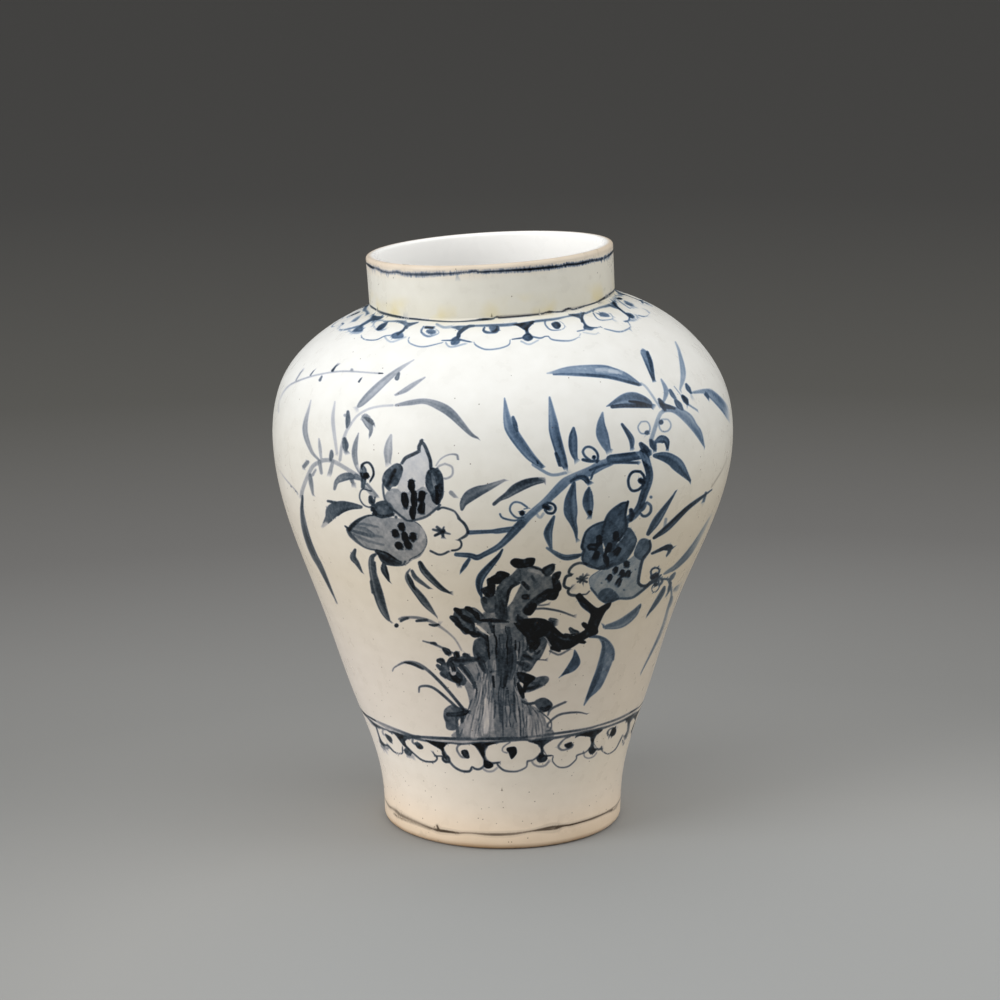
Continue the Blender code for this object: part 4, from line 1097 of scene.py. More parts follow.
# %% Rock, trunk
ROCK += [
    wash(0.38, (475.9, 639.7), (481.9, 636.7), (487.9, 637.7), (500, 629.7), (515.1, 627.7), (527.1, 639.7),
        (530.2, 654.8), (529.2, 669.8), (522.2, 675.8), (519.3, 690), (524.3, 704.1), (533.3, 706.1),
        (541.3, 712.1), (546.3, 722.2), (548.2, 738.2), (457.8, 738.2), (458.8, 728.2), (463.7, 716.2),
        (469.7, 710.1), (467.7, 694), (462.7, 679.9), (465.8, 664.8), (475.8, 660.8), (473.8, 649.7)),
    wash(0.62, (474.2, 641), (480.5, 637.9), (485.8, 641), (487.1, 650.5), (486.8, 662), (477.3, 662.1),
        (472.9, 652.6)),
    wash(0.44, (490, 640), (508, 634), (524, 642), (527, 660), (519, 676), (513, 690), (512, 704), (496, 704),
        (492, 690), (488, 672)),
    wash(0.35, (496, 702), (513, 702), (513, 722), (516, 738), (497, 738), (495, 720)),
    stroke(0.7, (507, 651.5, 8.4), (506, 663.5, 10.4), (503, 685.5, 6.4)),
    stroke(0.55, (503, 652, 3), (505, 664, 4), (505, 680, 3)),
    stroke(0.55, (486, 640, 3), (489, 664), (494, 671, 2)),
    stroke(0.77, (519.5, 664, 2.4), (516.5, 672), (514.5, 685, 2.9), (514.5, 712, 2.4), (516.5, 722, 0.9)),
    stroke(0.57, (476, 664, 0.6), (480, 676, 1), (483, 690, 0.6)),
    stroke(0.8, (475, 682, 1.5), (477, 692), (476, 701, 0.6)),
    stroke(0.8, (496, 671, 1.5), (490, 672, 2.5)),
    stroke(0.95, (507, 688.5, 1.3)),
    *streaks(0.7, [(491, 664), (488, 690), (485, 712), (482, 736)],
        [(524, 664), (517, 690), (519, 712), (521, 736)], 12),
    *streaks(0.55, [(478, 664), (474, 690), (467, 715), (460, 736)],
        [(490, 664), (487, 690), (484, 715), (480, 736)], 8),
    *streaks(0.6, [(520, 690), (523, 705), (524, 720), (523, 736)],
        [(524, 702), (538, 711), (544, 722), (546, 736)], 8),
    *streaks(-0.35, [(480, 664), (476, 690), (470, 715), (464, 736)],
        [(496, 660), (494, 690), (492, 715), (492, 736)], 9),
    *streaks(-0.3, [(512, 650), (510, 676), (517, 704), (519, 736)],
        [(518, 652), (521, 690), (536, 712), (542, 734)], 7),
    stroke(-0.57, (486, 700, 3.9), (486, 722, 5.9), (485.5, 733, 3.9)),
    stroke(-0.35, (491, 704, 3.5), (492, 730, 4.5)),
    stroke(0.61, (500, 700, 3), (500.5, 707, 4.5), (500.5, 722, 2.4)),
    stroke(0.75, (522, 703, 0.6), (524, 725)),
    stroke(0.39, (529.5, 707, 3), (532, 718, 3.4), (534, 728, 2)),
    stroke(0.5, (537, 712, 0.6), (539, 722)),
    wash(0.62, (536.2, 637.3), (541.5, 635.4), (545.8, 638.6), (547, 643.8), (541.1, 657), (536.5, 661.6),
        (531.9, 668.7), (527.7, 671.7), (520.2, 667.4), (520.8, 656.8), (527.1, 647.7), (534.1, 643.3)),
    stroke(0.88, (524, 655.5, 3), (528, 657.5, 5), (532, 659.5, 4)),
    stroke(0.79, (518.5, 663, 4), (523.5, 664), (528.5, 667, 3)),
    stroke(0.75, (533, 651.5, 3), (537, 653.5), (540, 650.5, 2)),
    stroke(-0.39, (527.5, 651.5, 2), (531, 654.5, 2.4), (533.5, 652.5, 1.6)),
    stroke(-0.35, (521.5, 661.5, 0.7), (526, 661, 1.1), (530, 663, 0.6)),
    wash(1, (516.6, 673.7), (521.1, 671.9), (534.6, 676.5), (533.7, 680.4), (529.6, 683.5), (526.8, 688.2),
        (525.6, 692.7), (521.6, 691.1), (523.5, 684.1), (519.3, 680.9)),
    wash(0.54, (525.9, 687.2), (529.9, 681.8), (535.4, 677.9), (542.9, 676), (548, 676.7), (549.1, 679.8),
        (546.1, 684), (539.9, 687.9), (528.1, 692.4), (524, 691.3)),
    stroke(0.79, (530, 681.5, 2), (535, 683.5, 3), (540, 681.5, 2.4)),
    stroke(0.85, (527, 689, 3.6), (534, 687.5), (540, 685, 3)),
    wash(0.66, (534.2, 701.9), (544.5, 697.7), (552.8, 705), (544.5, 712.3), (539.3, 710.2)),
    stroke(0.94, (541, 708, 3), (546, 709.5, 4.5), (550, 706.5, 3)),
    stroke(0.74, (522.5, 702, 2), (527.5, 704, 2.5), (534.5, 703, 3)),
]
print(f"{len(ROCK)} marks so far")

# %% [markdown]
# Low on the left a few round lobes curl away from the trunk, each a dark blot with a lighter eye.

# %% Rock, left lobes
ROCK += [
    wash(0.6, (455.5, 658), (463.5, 656), (473.5, 657), (478.5, 660), (465.5, 665), (461.5, 668), (466.5, 680),
        (464.5, 685), (460.5, 685), (445.5, 678), (440.5, 666), (444.5, 663), (450.5, 662)),
    stroke(0.83, (456.5, 654, 6.2), (457, 656.5)),
    stroke(0.78, (464.5, 655, 4.5), (467.5, 656)),
    stroke(0.8, (438.5, 660.5, 4.4), (441.5, 661, 6.4), (443.5, 663, 4.4)),
    stroke(0.65, (437.5, 665.5, 3.5), (441, 668.5, 5)),
    stroke(0.65, (442, 673.5, 5), (446, 676.5)),
    stroke(0.93, (450.5, 673, 3.8), (454.5, 678, 5.8), (458.5, 681, 5.3)),
    stroke(0.77, (457.5, 674, 4), (461, 678, 4.5), (458.5, 684, 5)),
    stroke(0.77, (449, 668.5, 2.8), (449, 662.5, 4.3), (452.5, 659, 4.8), (458.5, 660.5, 3.3)),
    stroke(0.79, (456, 661, 4.2), (476, 659.5), (484, 657.5, 3.6)),
    stroke(0.7, (461, 665, 3.9), (466, 671, 5.4), (471, 678, 4.9), (475, 687, 3.9)),
    wash(-0.7, (449.5, 667), (452.5, 665.5), (455, 668), (456, 674), (452.5, 675.5), (450, 672)),
    stroke(-0.85, (458, 667.5, 0.9), (472, 684.5, 0.6)),
    wash(0.13, (466, 715), (482, 715), (482, 732), (464, 732)),
    stroke(0.66, (497, 646, 5), (500, 654, 9), (501, 664, 10), (500, 674, 6)),
    stroke(0.68, (512, 648, 5), (513, 657, 8), (512, 668), (510, 678, 5)),
    stroke(0.72, (478, 654, 4), (481, 662, 7), (485, 671, 5)),
    stroke(0.9, (518, 684, 3.5), (521, 691, 5.5), (523, 697, 3.5)),
    stroke(0.9, (493, 677, 3), (494, 687, 2.5)),
    stroke(0.95, (451, 662, 3.5), (454, 670, 4.5)),
    stroke(0.85, (523, 583, 4), (528, 588, 4.5)),
    stroke(-0.35, (469, 717, 6), (467, 725, 8), (466, 733, 6)),
    stroke(0.88, (490, 623, 3), (493, 631.5, 4)),
    stroke(0.86, (473, 624, 3.5), (474.5, 631, 3)),
    stroke(-0.3, (475, 723, 6), (474.5, 736, 8)),
    stroke(-0.3, (530, 718, 6), (532, 736, 9)),
    stroke(-0.3, (541, 715, 5), (542, 733, 6)),
    stroke(-0.25, (508, 708, 4), (508, 724)),
]
print(len(ROCK), "marks")

# %% Gnarled branch
GNARLED_BRANCH = [
    wash(1.05, (518.7, 620.1), (530.7, 618.2), (540.7, 618.3), (548.7, 621.2), (560.4, 632.2), (566.7, 635.8),
        (574, 635.9), (586.3, 628.7), (588.3, 622.1), (590.4, 615.5), (588.6, 608.8), (584.8, 604), (579, 601.1),
        (576.2, 598.2), (576.2, 595.2), (580.1, 593.1), (584.9, 598), (596.5, 607.6), (602.5, 605.6),
        (608.5, 602.6), (611.4, 602.6), (609.4, 607.5), (604.4, 613.4), (598.3, 626.9), (597.4, 633.6),
        (586.6, 638.3), (571.4, 647.8), (562.8, 649.8), (556.1, 648.9), (551.3, 645.1), (547.5, 639.3),
        (543.6, 636.5), (536.6, 639.5), (528.6, 639.6), (520.7, 631.8), (515.7, 626)),
    stroke(0.7, (551, 620, 5), (554, 622, 8)),
    stroke(1, (584, 624.5, 5), (591, 630.5, 6)),
    stroke(0.8, (570.5, 629, 3.9), (573.5, 632, 5.9), (577.5, 633, 4.9)),
    wash(0.94, (526.2, 636.7), (538.8, 637.7), (540.7, 642.5), (535.9, 650.2), (530.1, 651.2), (528.3, 645.4)),
    stroke(-0.3, (554, 634, 1.5), (561, 638, 2.5), (569, 640, 1.5)),
    stroke(1, (573, 637.5, 4), (579, 640.5, 5), (585, 642.5, 3)),
    stroke(1, (552, 648, 4), (559, 650.5, 3.5)),
    stroke(1, (565, 635, 3.5), (572, 636)),
]
print(len(GNARLED_BRANCH), "marks")

# %% Grasses
GRASSES = [
    stroke((0.47, 0.23), (399, 619, 1.9), (404, 617.5, 2.4), (419, 618, 2.9), (435, 623.5), (453, 637, 1.9),
        (461.5, 650)),
    stroke(0.73, (401, 621, 2.7), (404, 619, 3.2), (408, 618, 2.7)),
    stroke(0.73, (416.5, 621, 2.3), (426.5, 620, 3.3)),
    stroke(0.83, (429.5, 624.5, 1.7), (434.5, 625.5, 2.7), (438.5, 624.5, 2.2)),
    stroke(0.77, (396.5, 625.5, 4.5)),
    stroke(0.55, (423, 641, 1.3), (436, 645, 2.3), (457, 655, 1.8)),
    stroke(0.73, (431, 643, 2.4), (435, 643.5, 2.9), (437, 645, 1.4)),
    stroke(0.78, (444.5, 649.5, 4.6), (447.5, 652, 6.6), (449.5, 654, 4.6)),
    stroke((0.42, 0.83), (392.5, 671, 1.2), (395, 667, 1.5), (407, 662, 2.5), (422, 666, 3), (443, 685),
        (465, 711)),
    stroke(0.66, (419, 692, 1.5), (420.5, 686.5, 2.2), (433.5, 688, 2.5), (453.5, 704.5, 2.8), (458.5, 710.5, 3)),
    wash(0.58, (449.5, 705.5), (444.5, 709.5), (443.5, 716.5), (445.5, 722.5), (446.5, 728.5), (451.5, 730.5),
        (455.5, 729.5), (457.5, 722.5), (461.5, 716.5), (467.5, 712.5), (466.5, 708.5), (459.5, 707.5),
        (454.5, 704.5)),
    stroke(0.84, (448, 714.5, 4.4), (456, 714.5), (463, 713.5, 5.4), (468, 711.5, 3.4)),
    stroke(0.62, (456.5, 718, 3), (458, 737, 3.5)),
    stroke(0.84, (462.5, 714, 4.2), (462, 722, 3.2)),
    stroke(0.55, (548, 715, 1.8), (549.5, 711, 2.3), (553.5, 707.5), (565.5, 702, 2.1)),
    stroke(0.58, (547.5, 727, 2), (549, 722.5), (560, 714.5, 2.2), (577, 712.3, 1.8), (587, 714, 1)),
    stroke(0.66, (539.5, 711, 1.4), (549.5, 719.5), (551.5, 725), (550, 730), (545.5, 731, 0.9)),
    stroke(0.62, (536, 608.8, 2.1), (545, 608.6), (560, 611.3), (573, 616, 1.8)),
    stroke(0.5, (536, 605, 1.8), (542, 605.3, 1.9), (548, 604.3, 1.6)),
    stroke(0.67, (535, 659.5, 1), (545, 660)),
    stroke(0.53, (550, 651, 1.9), (555, 653.5, 2.1), (560, 654.5), (570, 649, 1.9)),
    stroke(0.3, (545, 637, 1.8), (551, 648), (550, 653, 1.3)),
    stroke(0.9, (404.5, 662.5, 1.5), (413, 664, 3), (423, 669, 2)),
]
print(f"{len(ROCK + GNARLED_BRANCH + GRASSES)} marks in the rock and grasses")

# %% [markdown]
# ## The painting: the lower band
#
# Under the double line hangs a row of petals, as on the shoulder but bolder. Each is one lifted line,
# with an eye inside and a dark wedge between it and the next. They are drawn one by one, because no
# two are alike, and the pattern is common to this kind of jar.

# %% Lower band, left
LOWER_BAND_LEFT = [
    stroke(0.79, (376, 726, 1.4), (379, 736, 1), (381, 742, 2.4), (384, 745), (388, 745.5, 1.4), (394.5, 752, 1.2),
        (402, 753.5, 1.4), (402.5, 747.5, 0.9)),
    stroke(0.85, (403, 750, 0.6), (407, 751)),
    wash(0.94, (372.6, 721.1), (375.7, 725.3), (380.2, 727.2), (376.9, 726.6)),
    stroke(0.37, (384, 729, 1.6), (382.5, 732), (384, 735)),
    stroke(0.88, (386, 735, 2.1), (389, 738, 4.1), (391, 741, 3.1), (392, 743, 0.6)),
    stroke(0.33, (382, 745.5, 3.3), (385, 748.5), (388, 747.5)),
    stroke(0.62, (366, 721, 1.9), (368, 727)),
    wash(0.77, (390.8, 730.8), (405.3, 735.9), (411.3, 738.5), (406.3, 740.1), (404.7, 743.3), (406.1, 747.3),
        (403.1, 745.3), (395.7, 735.4)),
    stroke(0.88, (404, 742, 2.1), (406, 747, 1.6), (413, 753, 1.1)),
    wash(0.74, (404.8, 748.3), (409.1, 749.2), (412.3, 752.6), (410.1, 755.8), (406.9, 754.8), (404.2, 751.5)),
    stroke(0.28, (408, 756, 3.2), (413, 757)),
    stroke(0.74, (405, 743, 1.2), (407, 747, 1.5), (421, 759.5, 1.7), (432, 762), (436, 760.5), (437, 757.5),
        (434, 754, 1.2)),
    stroke(0.78, (434.5, 756, 1), (441.5, 756, 1.3)),
    stroke(0.5, (413, 738, 2.5), (412.5, 742, 1.9), (415, 744)),
    wash(0.83, (414.7, 743.3), (417.9, 742.2), (422.3, 745.5), (423.3, 748.1), (421.2, 749.3), (417.9, 748.3)),
]
print(len(LOWER_BAND_LEFT), "marks")

# %% Lower band, middle
LOWER_BAND_MIDDLE = [
    wash(1, (425.1, 740.2), (433.2, 741), (446.9, 742.9), (451.9, 742.9), (446.9, 744.5), (443.7, 748),
        (442.9, 752.3), (440.3, 749.4)),
    stroke(0.78, (443, 749, 2.5), (443, 753), (445, 757, 3), (447, 760, 1.5)),
    stroke(0.74, (443, 756.5, 2.4), (443, 759.5), (446, 762), (449, 761.5), (449, 758.5), (447, 756)),
    stroke(0.68, (443.5, 750, 1.5), (451.5, 764, 2.2), (460.5, 770.5), (469.5, 771.2, 2.5), (472, 767, 2),
        (474.5, 768.5), (478.5, 769.3, 2.2), (482.5, 767.5), (484.5, 764, 2), (483.5, 758), (477.5, 748),
        (473.5, 744, 1.5)),
    stroke(0.43, (461, 744, 2.1), (458, 746), (457, 750), (461, 756.5), (465, 757.5)),
    wash(0.93, (461, 751.5), (463.5, 749.8), (467.5, 750.5), (469.5, 757.5), (466.5, 758.5), (463, 756)),
    wash(1.05, (471.2, 743.9), (479.3, 742.8), (498.8, 742.9), (491.8, 744.4), (486.8, 747), (484.5, 750.3),
        (483.5, 758.3), (478.2, 749.1), (475.2, 746)),
    stroke(0.83, (484, 754, 2.8), (484.5, 759, 2.3), (486, 762, 2.8)),
    wash(1.05, (483.8, 760.8), (488, 760.7), (492.3, 763.4), (493.3, 766.1), (490.2, 768.3), (485.9, 768.3),
        (483.7, 765.6)),
    stroke(0.65, (492, 763.5, 2.3), (499, 762.5, 1.8)),
    stroke(0.29, (484, 769.5, 2.1), (488, 771.5), (493, 771), (497, 768)),
    stroke(0.58, (487, 747, 1.5), (485, 751), (485, 756), (487, 760, 1.6), (491, 762.7), (498, 763, 2),
        (497.5, 764.5), (504, 770.3), (516, 771.5, 1.8), (525, 768, 1.6), (527, 765), (527.5, 761.5, 2),
        (534, 759.5, 1.6), (541, 753), (541.5, 749, 1.5), (539, 746, 1.2)),
    stroke(0.44, (510, 742.5, 1.3), (505, 745.5, 1.5), (502.5, 748.5), (503, 751.5), (507, 753)),
    wash(1.05, (507.3, 747.8), (514.6, 746.7), (516.8, 749.9), (516.3, 754.1), (511.5, 759.1), (508.7, 753.1),
        (506.7, 750.4)),
    wash(0.8, (528.1, 740.9), (548.9, 739.8), (553.9, 738.8), (544.6, 745.1), (542.7, 747.9), (537.3, 744.5)),
    stroke(0.83, (541.7, 745.5, 2.9), (542, 750.5, 2.7), (542, 754.5, 3.9)),
    wash(0.79, (538.2, 755.8), (540.4, 752.7), (547.3, 756.9), (545.7, 761.2), (540.4, 762.6), (537.3, 761.2),
        (536.2, 758)),
    stroke(0.85, (543, 756.5, 1.8), (551, 755.5, 1.3)),
    stroke(0.35, (532, 761.5, 2.1), (534, 764.5), (539, 766.5), (545, 765.5), (548.5, 762)),
    stroke(0.62, (544, 744, 0.6), (543, 748, 0.7), (547, 755.5, 1), (553, 755.8), (552.5, 761, 1.2),
        (558.5, 767, 1.4), (568, 766.5), (576, 759.5, 1), (577, 755.5, 1.6), (585, 752.5, 1.2), (589, 749)),
    stroke(0.51, (570, 736.5, 1.5), (564, 739.5), (558.5, 746, 2.3), (560, 749), (564, 750, 1.8), (572, 747),
        (573, 744, 1.5)),
    wash(0.88, (564.5, 744.5), (571.5, 742), (572, 746), (569.5, 748.3), (565.5, 747.3)),
]
print(len(LOWER_BAND_MIDDLE), "marks")

# %% Lower band, right
LOWER_BAND_RIGHT = [
    wash(0.94, (575, 738), (580, 736), (590, 737), (590.5, 740), (592, 742.5), (594, 741), (594.5, 737),
        (602, 729.5), (580, 734)),
    stroke(0.78, (592, 739, 3.3), (592.3, 743, 2.5), (592, 747, 3.8)),
    wash(0.83, (588.2, 749.4), (590.9, 746.2), (594.2, 747.3), (595.8, 750.5), (593.1, 753.8), (589.9, 753.8)),
    stroke(0.66, (595, 749.5, 2.2), (602, 749, 2.1)),
    stroke(0.36, (583.5, 751.5, 1.4), (584.5, 756.5), (588.5, 758.2), (593.5, 756.5), (596.5, 753)),
    stroke(0.74, (596, 735.5, 0.6), (594, 739.5), (594, 743.5), (596, 747), (599, 748.8, 0.7), (601.5, 747.5, 1.1),
        (601.5, 746.5, 1.6), (602, 750.5, 1.1), (608, 753.8, 0.9), (615.5, 749, 0.6), (622, 737, 0.9),
        (625, 736, 0.6)),
    stroke(0.55, (613, 727.5, 1), (609, 730, 1.3), (607.5, 733.5, 2), (609, 736, 1.8)),
    wash(1.05, (613, 727.7), (615.7, 728.2), (616.1, 731.4), (614.1, 735.3), (610.9, 736.6), (609.8, 734.7)),
    wash(0.78, (624.7, 719.5), (629.8, 717.3), (637.2, 711.3), (635.2, 715.8), (629.4, 723.3), (628.9, 727.3),
        (627.3, 722.2)),
    stroke(0.78, (629, 721, 2.8), (628, 731, 2.1), (625.5, 737, 2.8)),
    stroke(0.83, (622.5, 740.5, 1.4), (623.5, 743.5)),
    stroke(0.66, (638.5, 713, 1.3), (635.5, 721, 1.8)),
    stroke(0.66, (630, 732, 1), (630.5, 735, 1.8), (630.5, 738, 1.2)),
]
LOWER_BAND = LOWER_BAND_LEFT + LOWER_BAND_MIDDLE + LOWER_BAND_RIGHT
print(f"{len(LOWER_BAND)} marks in the lower band")

# %% [markdown]
# ## The painting: the side that the photograph doesn't show
#
# Jars of this kind are painted all round, so the far side gets a plant of its own. It reuses the
# sprays, fruit and grasses, turned the other way, and in place of the rock it has a stem that rises
# from a low bank. This side is a guess.

# %% Far side
BANK = [
    wash(0.5, (430, 738), (440, 727), (456, 721), (474, 717), (492, 722), (512, 716), (534, 720), (552, 728),
        (566, 737)),
    *streaks(0.6, [(440, 728), (436, 738)], [(556, 730), (562, 738)], 12),
    stroke(1, (442, 725, 5), (452, 720, 7)),
    stroke(1, (466, 717, 6), (477, 716, 7)),
    stroke(1, (528, 718, 6), (541, 722, 7)),
    stroke((1, 0.85), (512, 737, 10), (508, 716, 8.5), (500, 696, 7.5), (497, 676, 8), (503, 656, 7.4),
        (508, 636, 6.4), (502, 616, 6), (474, 560, 4)),
    stroke(0.9, (503, 656, 5), (520, 642), (540, 629, 4.5), (574, 599, 3)),
    stroke(0.9, (497, 676, 5), (484, 664, 4.5), (470, 658, 4), (457, 651, 2)),
    stroke(1, (498, 688, 5), (493, 695, 6)),
    stroke(1, (509, 640, 5), (514, 633)),
    stroke((0.85, 0.6), (508, 636, 2), (522, 622, 6), (535, 604, 7.5), (542, 589, 2)),
    stroke((0.8, 0.6), (498, 678, 2), (520, 682, 6), (540, 693, 6.6), (553, 707, 2)),
    stroke((0.8, 0.65), (484, 664, 2), (474, 680, 6), (470, 698, 5.4), (474, 712, 1.5)),
    stroke((0.7, 0.5), (503, 617, 2), (516, 604, 4.5), (524, 590, 5), (528, 578, 1.5)),
]
print(f"{len(BANK)} marks in the bank and its stem")

# %% [markdown]
# ## Laying the painting on the sheet
#
# The lines run all the way round. In front they follow their strokes, and behind the jar they are
# joined evenly, from where the camera loses them on one side to where it finds them on the other.
# Colour creeps out beside a wet line, and a dry brush leaves short ticks across it.

# %% Lines round the jar
BLEED = 2.6
BLEED_TONE = 0.16
FRAY = 1.4
SIDE_FADE = (0.12, 0.30)


def bled(marks):
    """The same strokes, wider and paler: colour that crept into the glaze beside a line."""
    wider = (1, 1, BLEED)
    return [{**mark, "path": mark["path"] * wider, "tones": mark["tones"] * BLEED_TONE} for mark in marks]


def frayed(marks):
    """Short ticks across lines, as if drawn with a dry brush on a turning pot."""
    ticks = []
    for mark in marks:
        for x, y, width in mark["path"]:
            tone, lean, up, down = noise_of.uniform((0.2, -0.5, 0.1, 0.1), (0.9, 0.5, FRAY, FRAY))
            top, bottom = (x - lean, y - width / 2 - up, 0.8), (x + lean, y + width / 2 + down, 1)
            ticks.append(stroke(tone * mark["tones"][0], top, bottom))
    return ticks


def round_the_jar(*lines):
    """How far up the sheet a line runs at any angle, and the angles between which it is not drawn in front."""
    angles, lengths, on_jar = trace(np.vstack([mark["path"][:, :2] for mark in lines]))
    on_jar &= facing(angles, lengths) > SIDE_FADE[0]
    order = np.argsort(angles[on_jar])
    angles, lengths = angles[on_jar][order], lengths[on_jar][order]
    clear = angles[facing(angles, lengths) > SIDE_FADE[1]]
    ends = clear[-1], clear[0] + 2 * math.pi
    angles, lengths = np.append(angles, angles[0] + 2 * math.pi), np.append(lengths, lengths[0])
    return lambda angle: np.interp((angle - angles[0]) % (2 * math.pi) + angles[0], angles, lengths), ends


def climb(line, angle, turn):
    """How many pixels a mark moves up when it is laid a turn further along a line."""
    here, there = (in_photo(on_wall(angle, line(angle + by))) for by in (0, turn))
    return there[1] - here[1]


LIP_ROUND_LINE, LIP_ENDS = round_the_jar(*LIP_LINE)
NECK_ROUND_LINE, NECK_ENDS = round_the_jar(*NECK_LINE[:3])
BAND_ROUND_LINE, BAND_ENDS = round_the_jar(*BAND_LINES[:3])
UNDER_ROUND_LINE, UNDER_ENDS = round_the_jar(*BAND_LINES[3:6])
FOOT_ROUND_LINE, FOOT_ENDS = round_the_jar(*FOOT_LINE[:3])

# Each line behind: where it runs, where it starts and ends, its width, its tone and its ink.
LINES_BEHIND = [
    (LIP_ROUND_LINE, LIP_ENDS, 0.0015, 0.70, "grey_cobalt"),
    (NECK_ROUND_LINE, NECK_ENDS, 0.0011, 0.65, "grey_cobalt"),
    (BAND_ROUND_LINE, BAND_ENDS, 0.0013, 0.85, "grey_cobalt"),
    (UNDER_ROUND_LINE, UNDER_ENDS, 0.0013, 0.90, "grey_cobalt"),
    (FOOT_ROUND_LINE, FOOT_ENDS, 0.0012, 0.70, "iron"),
]
LINE_CLIMB = BAND_ROUND_LINE(1.2) - BAND_ROUND_LINE(-1.2)
print(f"the band line climbs {LINE_CLIMB * 1000:.1f} mm from left to right")

# %% [markdown]
# Each group of strokes is a list of marks in photo pixels. A layer says which way round the jar a
# group faces: 0 is the photographed front. The petals in the middle of both bands are laid again and
# again round the back, and moved up or down to stay under their line, which climbs to the right.
#
# Two bowls of blue stood by the painter. One held clear cobalt, the other a poorer, greyer one, which
# was used for the lines, the rock, the fruit and leaves on the left and all that is low down. The line
# over the foot was drawn in iron brown. So every mark has its ink as well as its tone.

# %% Layers
SHOULDER_BEHIND = (106.6, 152.6, 198.6, 244.6)
LOWER_BEHIND = (98.6, 166.7, 234.8)
SHOULDER_MIDDLE, LOWER_MIDDLE = math.radians(7), math.radians(-15)
OUTLINES = LIP_LINE + NECK_LINE[:3] + FOOT_LINE + BAND_LINES + LEFT_FLOWER + RIGHT_FLOWER
for mark in OUTLINES + LOWER_BAND + ROCK + GNARLED_BRANCH + GRASSES + LEFT_FRUIT + LEFT_LEAVES:
    mark["ink"] = "grey_cobalt" if mark["ink"] == "cobalt" else mark["ink"]

FRONT = LIP_LINE + NECK_LINE + BAND_LINES + FOOT_LINE + SHOULDER_BAND
FRONT += bled(LIP_LINE + FOOT_LINE) + frayed(LIP_LINE)
FRONT += LEFT_LEAVES + LEFT_FRUIT + LEFT_FLOWER + BRANCH + RIGHT_LEAVES + RIGHT_FRUIT + RIGHT_FLOWER
FRONT += ROCK + GNARLED_BRANCH + GRASSES + LOWER_BAND + CRACKS
BACK = BANK + LEFT_LEAVES + LEFT_FRUIT + LEFT_FLOWER
BACK += BRANCH + RIGHT_LEAVES + RIGHT_FRUIT + RIGHT_FLOWER + GRASSES
LAYERS = [
    {"turn": 0.0, "mirror": 1, "move": (0, 0), "marks": FRONT},
    {"turn": math.pi, "mirror": -1, "move": (0, climb(BAND_ROUND_LINE, 0, math.pi)), "marks": BACK},
]
for turns, line, middle, petals in (
    (SHOULDER_BEHIND, NECK_ROUND_LINE, SHOULDER_MIDDLE, SHOULDER_BAND_MIDDLE),
    (LOWER_BEHIND, UNDER_ROUND_LINE, LOWER_MIDDLE, LOWER_BAND_MIDDLE),
):
    for turn in np.radians(turns):
        LAYERS.append({"turn": turn, "mirror": 1, "move": (0, climb(line, middle, turn)), "marks": petals})
print(f"{len(FRONT)} marks on the front, {len(BACK)} behind, {len(LAYERS)} layers")

# %% [markdown]
# To colour a point of the wall, each layer is turned to face it, and every mark near the point adds
# its colour. Marks that cross build up, as wet colour over dry does, but two coats are never twice as
# dark. Where a layer's picture shows the wall too slantwise, near its sides, its marks fade out. The
# same marks also say where the mesh needs points: close along their edges, few elsewhere.

# %% Painting the points
OVERLAY = 0.3
MOST_INK = 1.1
ANCHOR_GRID = 0.4
LINE_STEP = 0.012


def layer_pixels(layer, angles, lengths):
    """Where sheet points fall in the picture a layer was drawn in, and how much of its colour they take.

    Near the picture's edge the wall is seen so slantwise that a drawn mark would smear, so it fades.
    """
    turned = (angles - layer["turn"] + math.pi) % (2 * math.pi) - math.pi
    turned = turned * layer["mirror"]
    pixels = in_photo(on_wall(turned, lengths)) - np.array(layer["move"])
    clear = smooth((facing(turned, lengths) - SIDE_FADE[0]) / (SIDE_FADE[1] - SIDE_FADE[0]))
    return pixels, np.where(np.abs(turned) < VIEW_EDGE, clear, 0)


def lay(under, coat):
    """The density of one coat laid over another. A negative coat takes colour away."""
    deeper, thinner = np.maximum(under, coat), np.minimum(under, coat)
    return np.where(coat < 0, under * (1 + coat), deeper + OVERLAY * thinner * np.clip(1 - deeper, 0, 1))


def behind(ends, angles):
    """Which angles lie on the part of a line that runs behind the jar."""
    return (angles - ends[0]) % (2 * math.pi) < ends[1] - ends[0]


def half_width(width, angles):
    """Half a line's width in metres, as the hand pressed more or less."""
    return width / 2 * (1 + 0.22 * np.sin(9 * angles) + 0.16 * np.sin(23 * angles + 1))


def paint(angles, lengths):
    """The density of each ink at sheet points."""
    density = {ink: np.zeros(len(angles)) for ink in ("cobalt", "grey_cobalt", "iron")}
    for layer in LAYERS:
        pixels, clear = layer_pixels(layer, angles, lengths)
        rows = np.flatnonzero(clear)
        rows = rows[np.argsort(pixels[rows, 1])]
        heights = pixels[rows, 1]
        for mark in layer["marks"]:
            low, high = reach(mark)
            part = rows[np.searchsorted(heights, low[1]) : np.searchsorted(heights, high[1])]
            part = part[(pixels[part, 0] > low[0]) & (pixels[part, 0] < high[0])]
            if len(part):
                coat = colour_of(mark, pixels[part]) * clear[part]
                for ink in [mark["ink"]] if coat.min() >= 0 else ["cobalt", "grey_cobalt"]:
                    density[ink][part] = lay(density[ink][part], coat)
    for line, ends, width, tone, ink in LINES_BEHIND:
        gap = np.abs(lengths - line(angles))
        cover = smooth((half_width(width, angles) + EDGE * PIXEL - gap) / (2 * EDGE * PIXEL))
        density[ink] = lay(density[ink], np.where(behind(ends, angles), cover * tone, 0))
    return {ink: np.clip(values, 0, MOST_INK) for ink, values in density.items()}


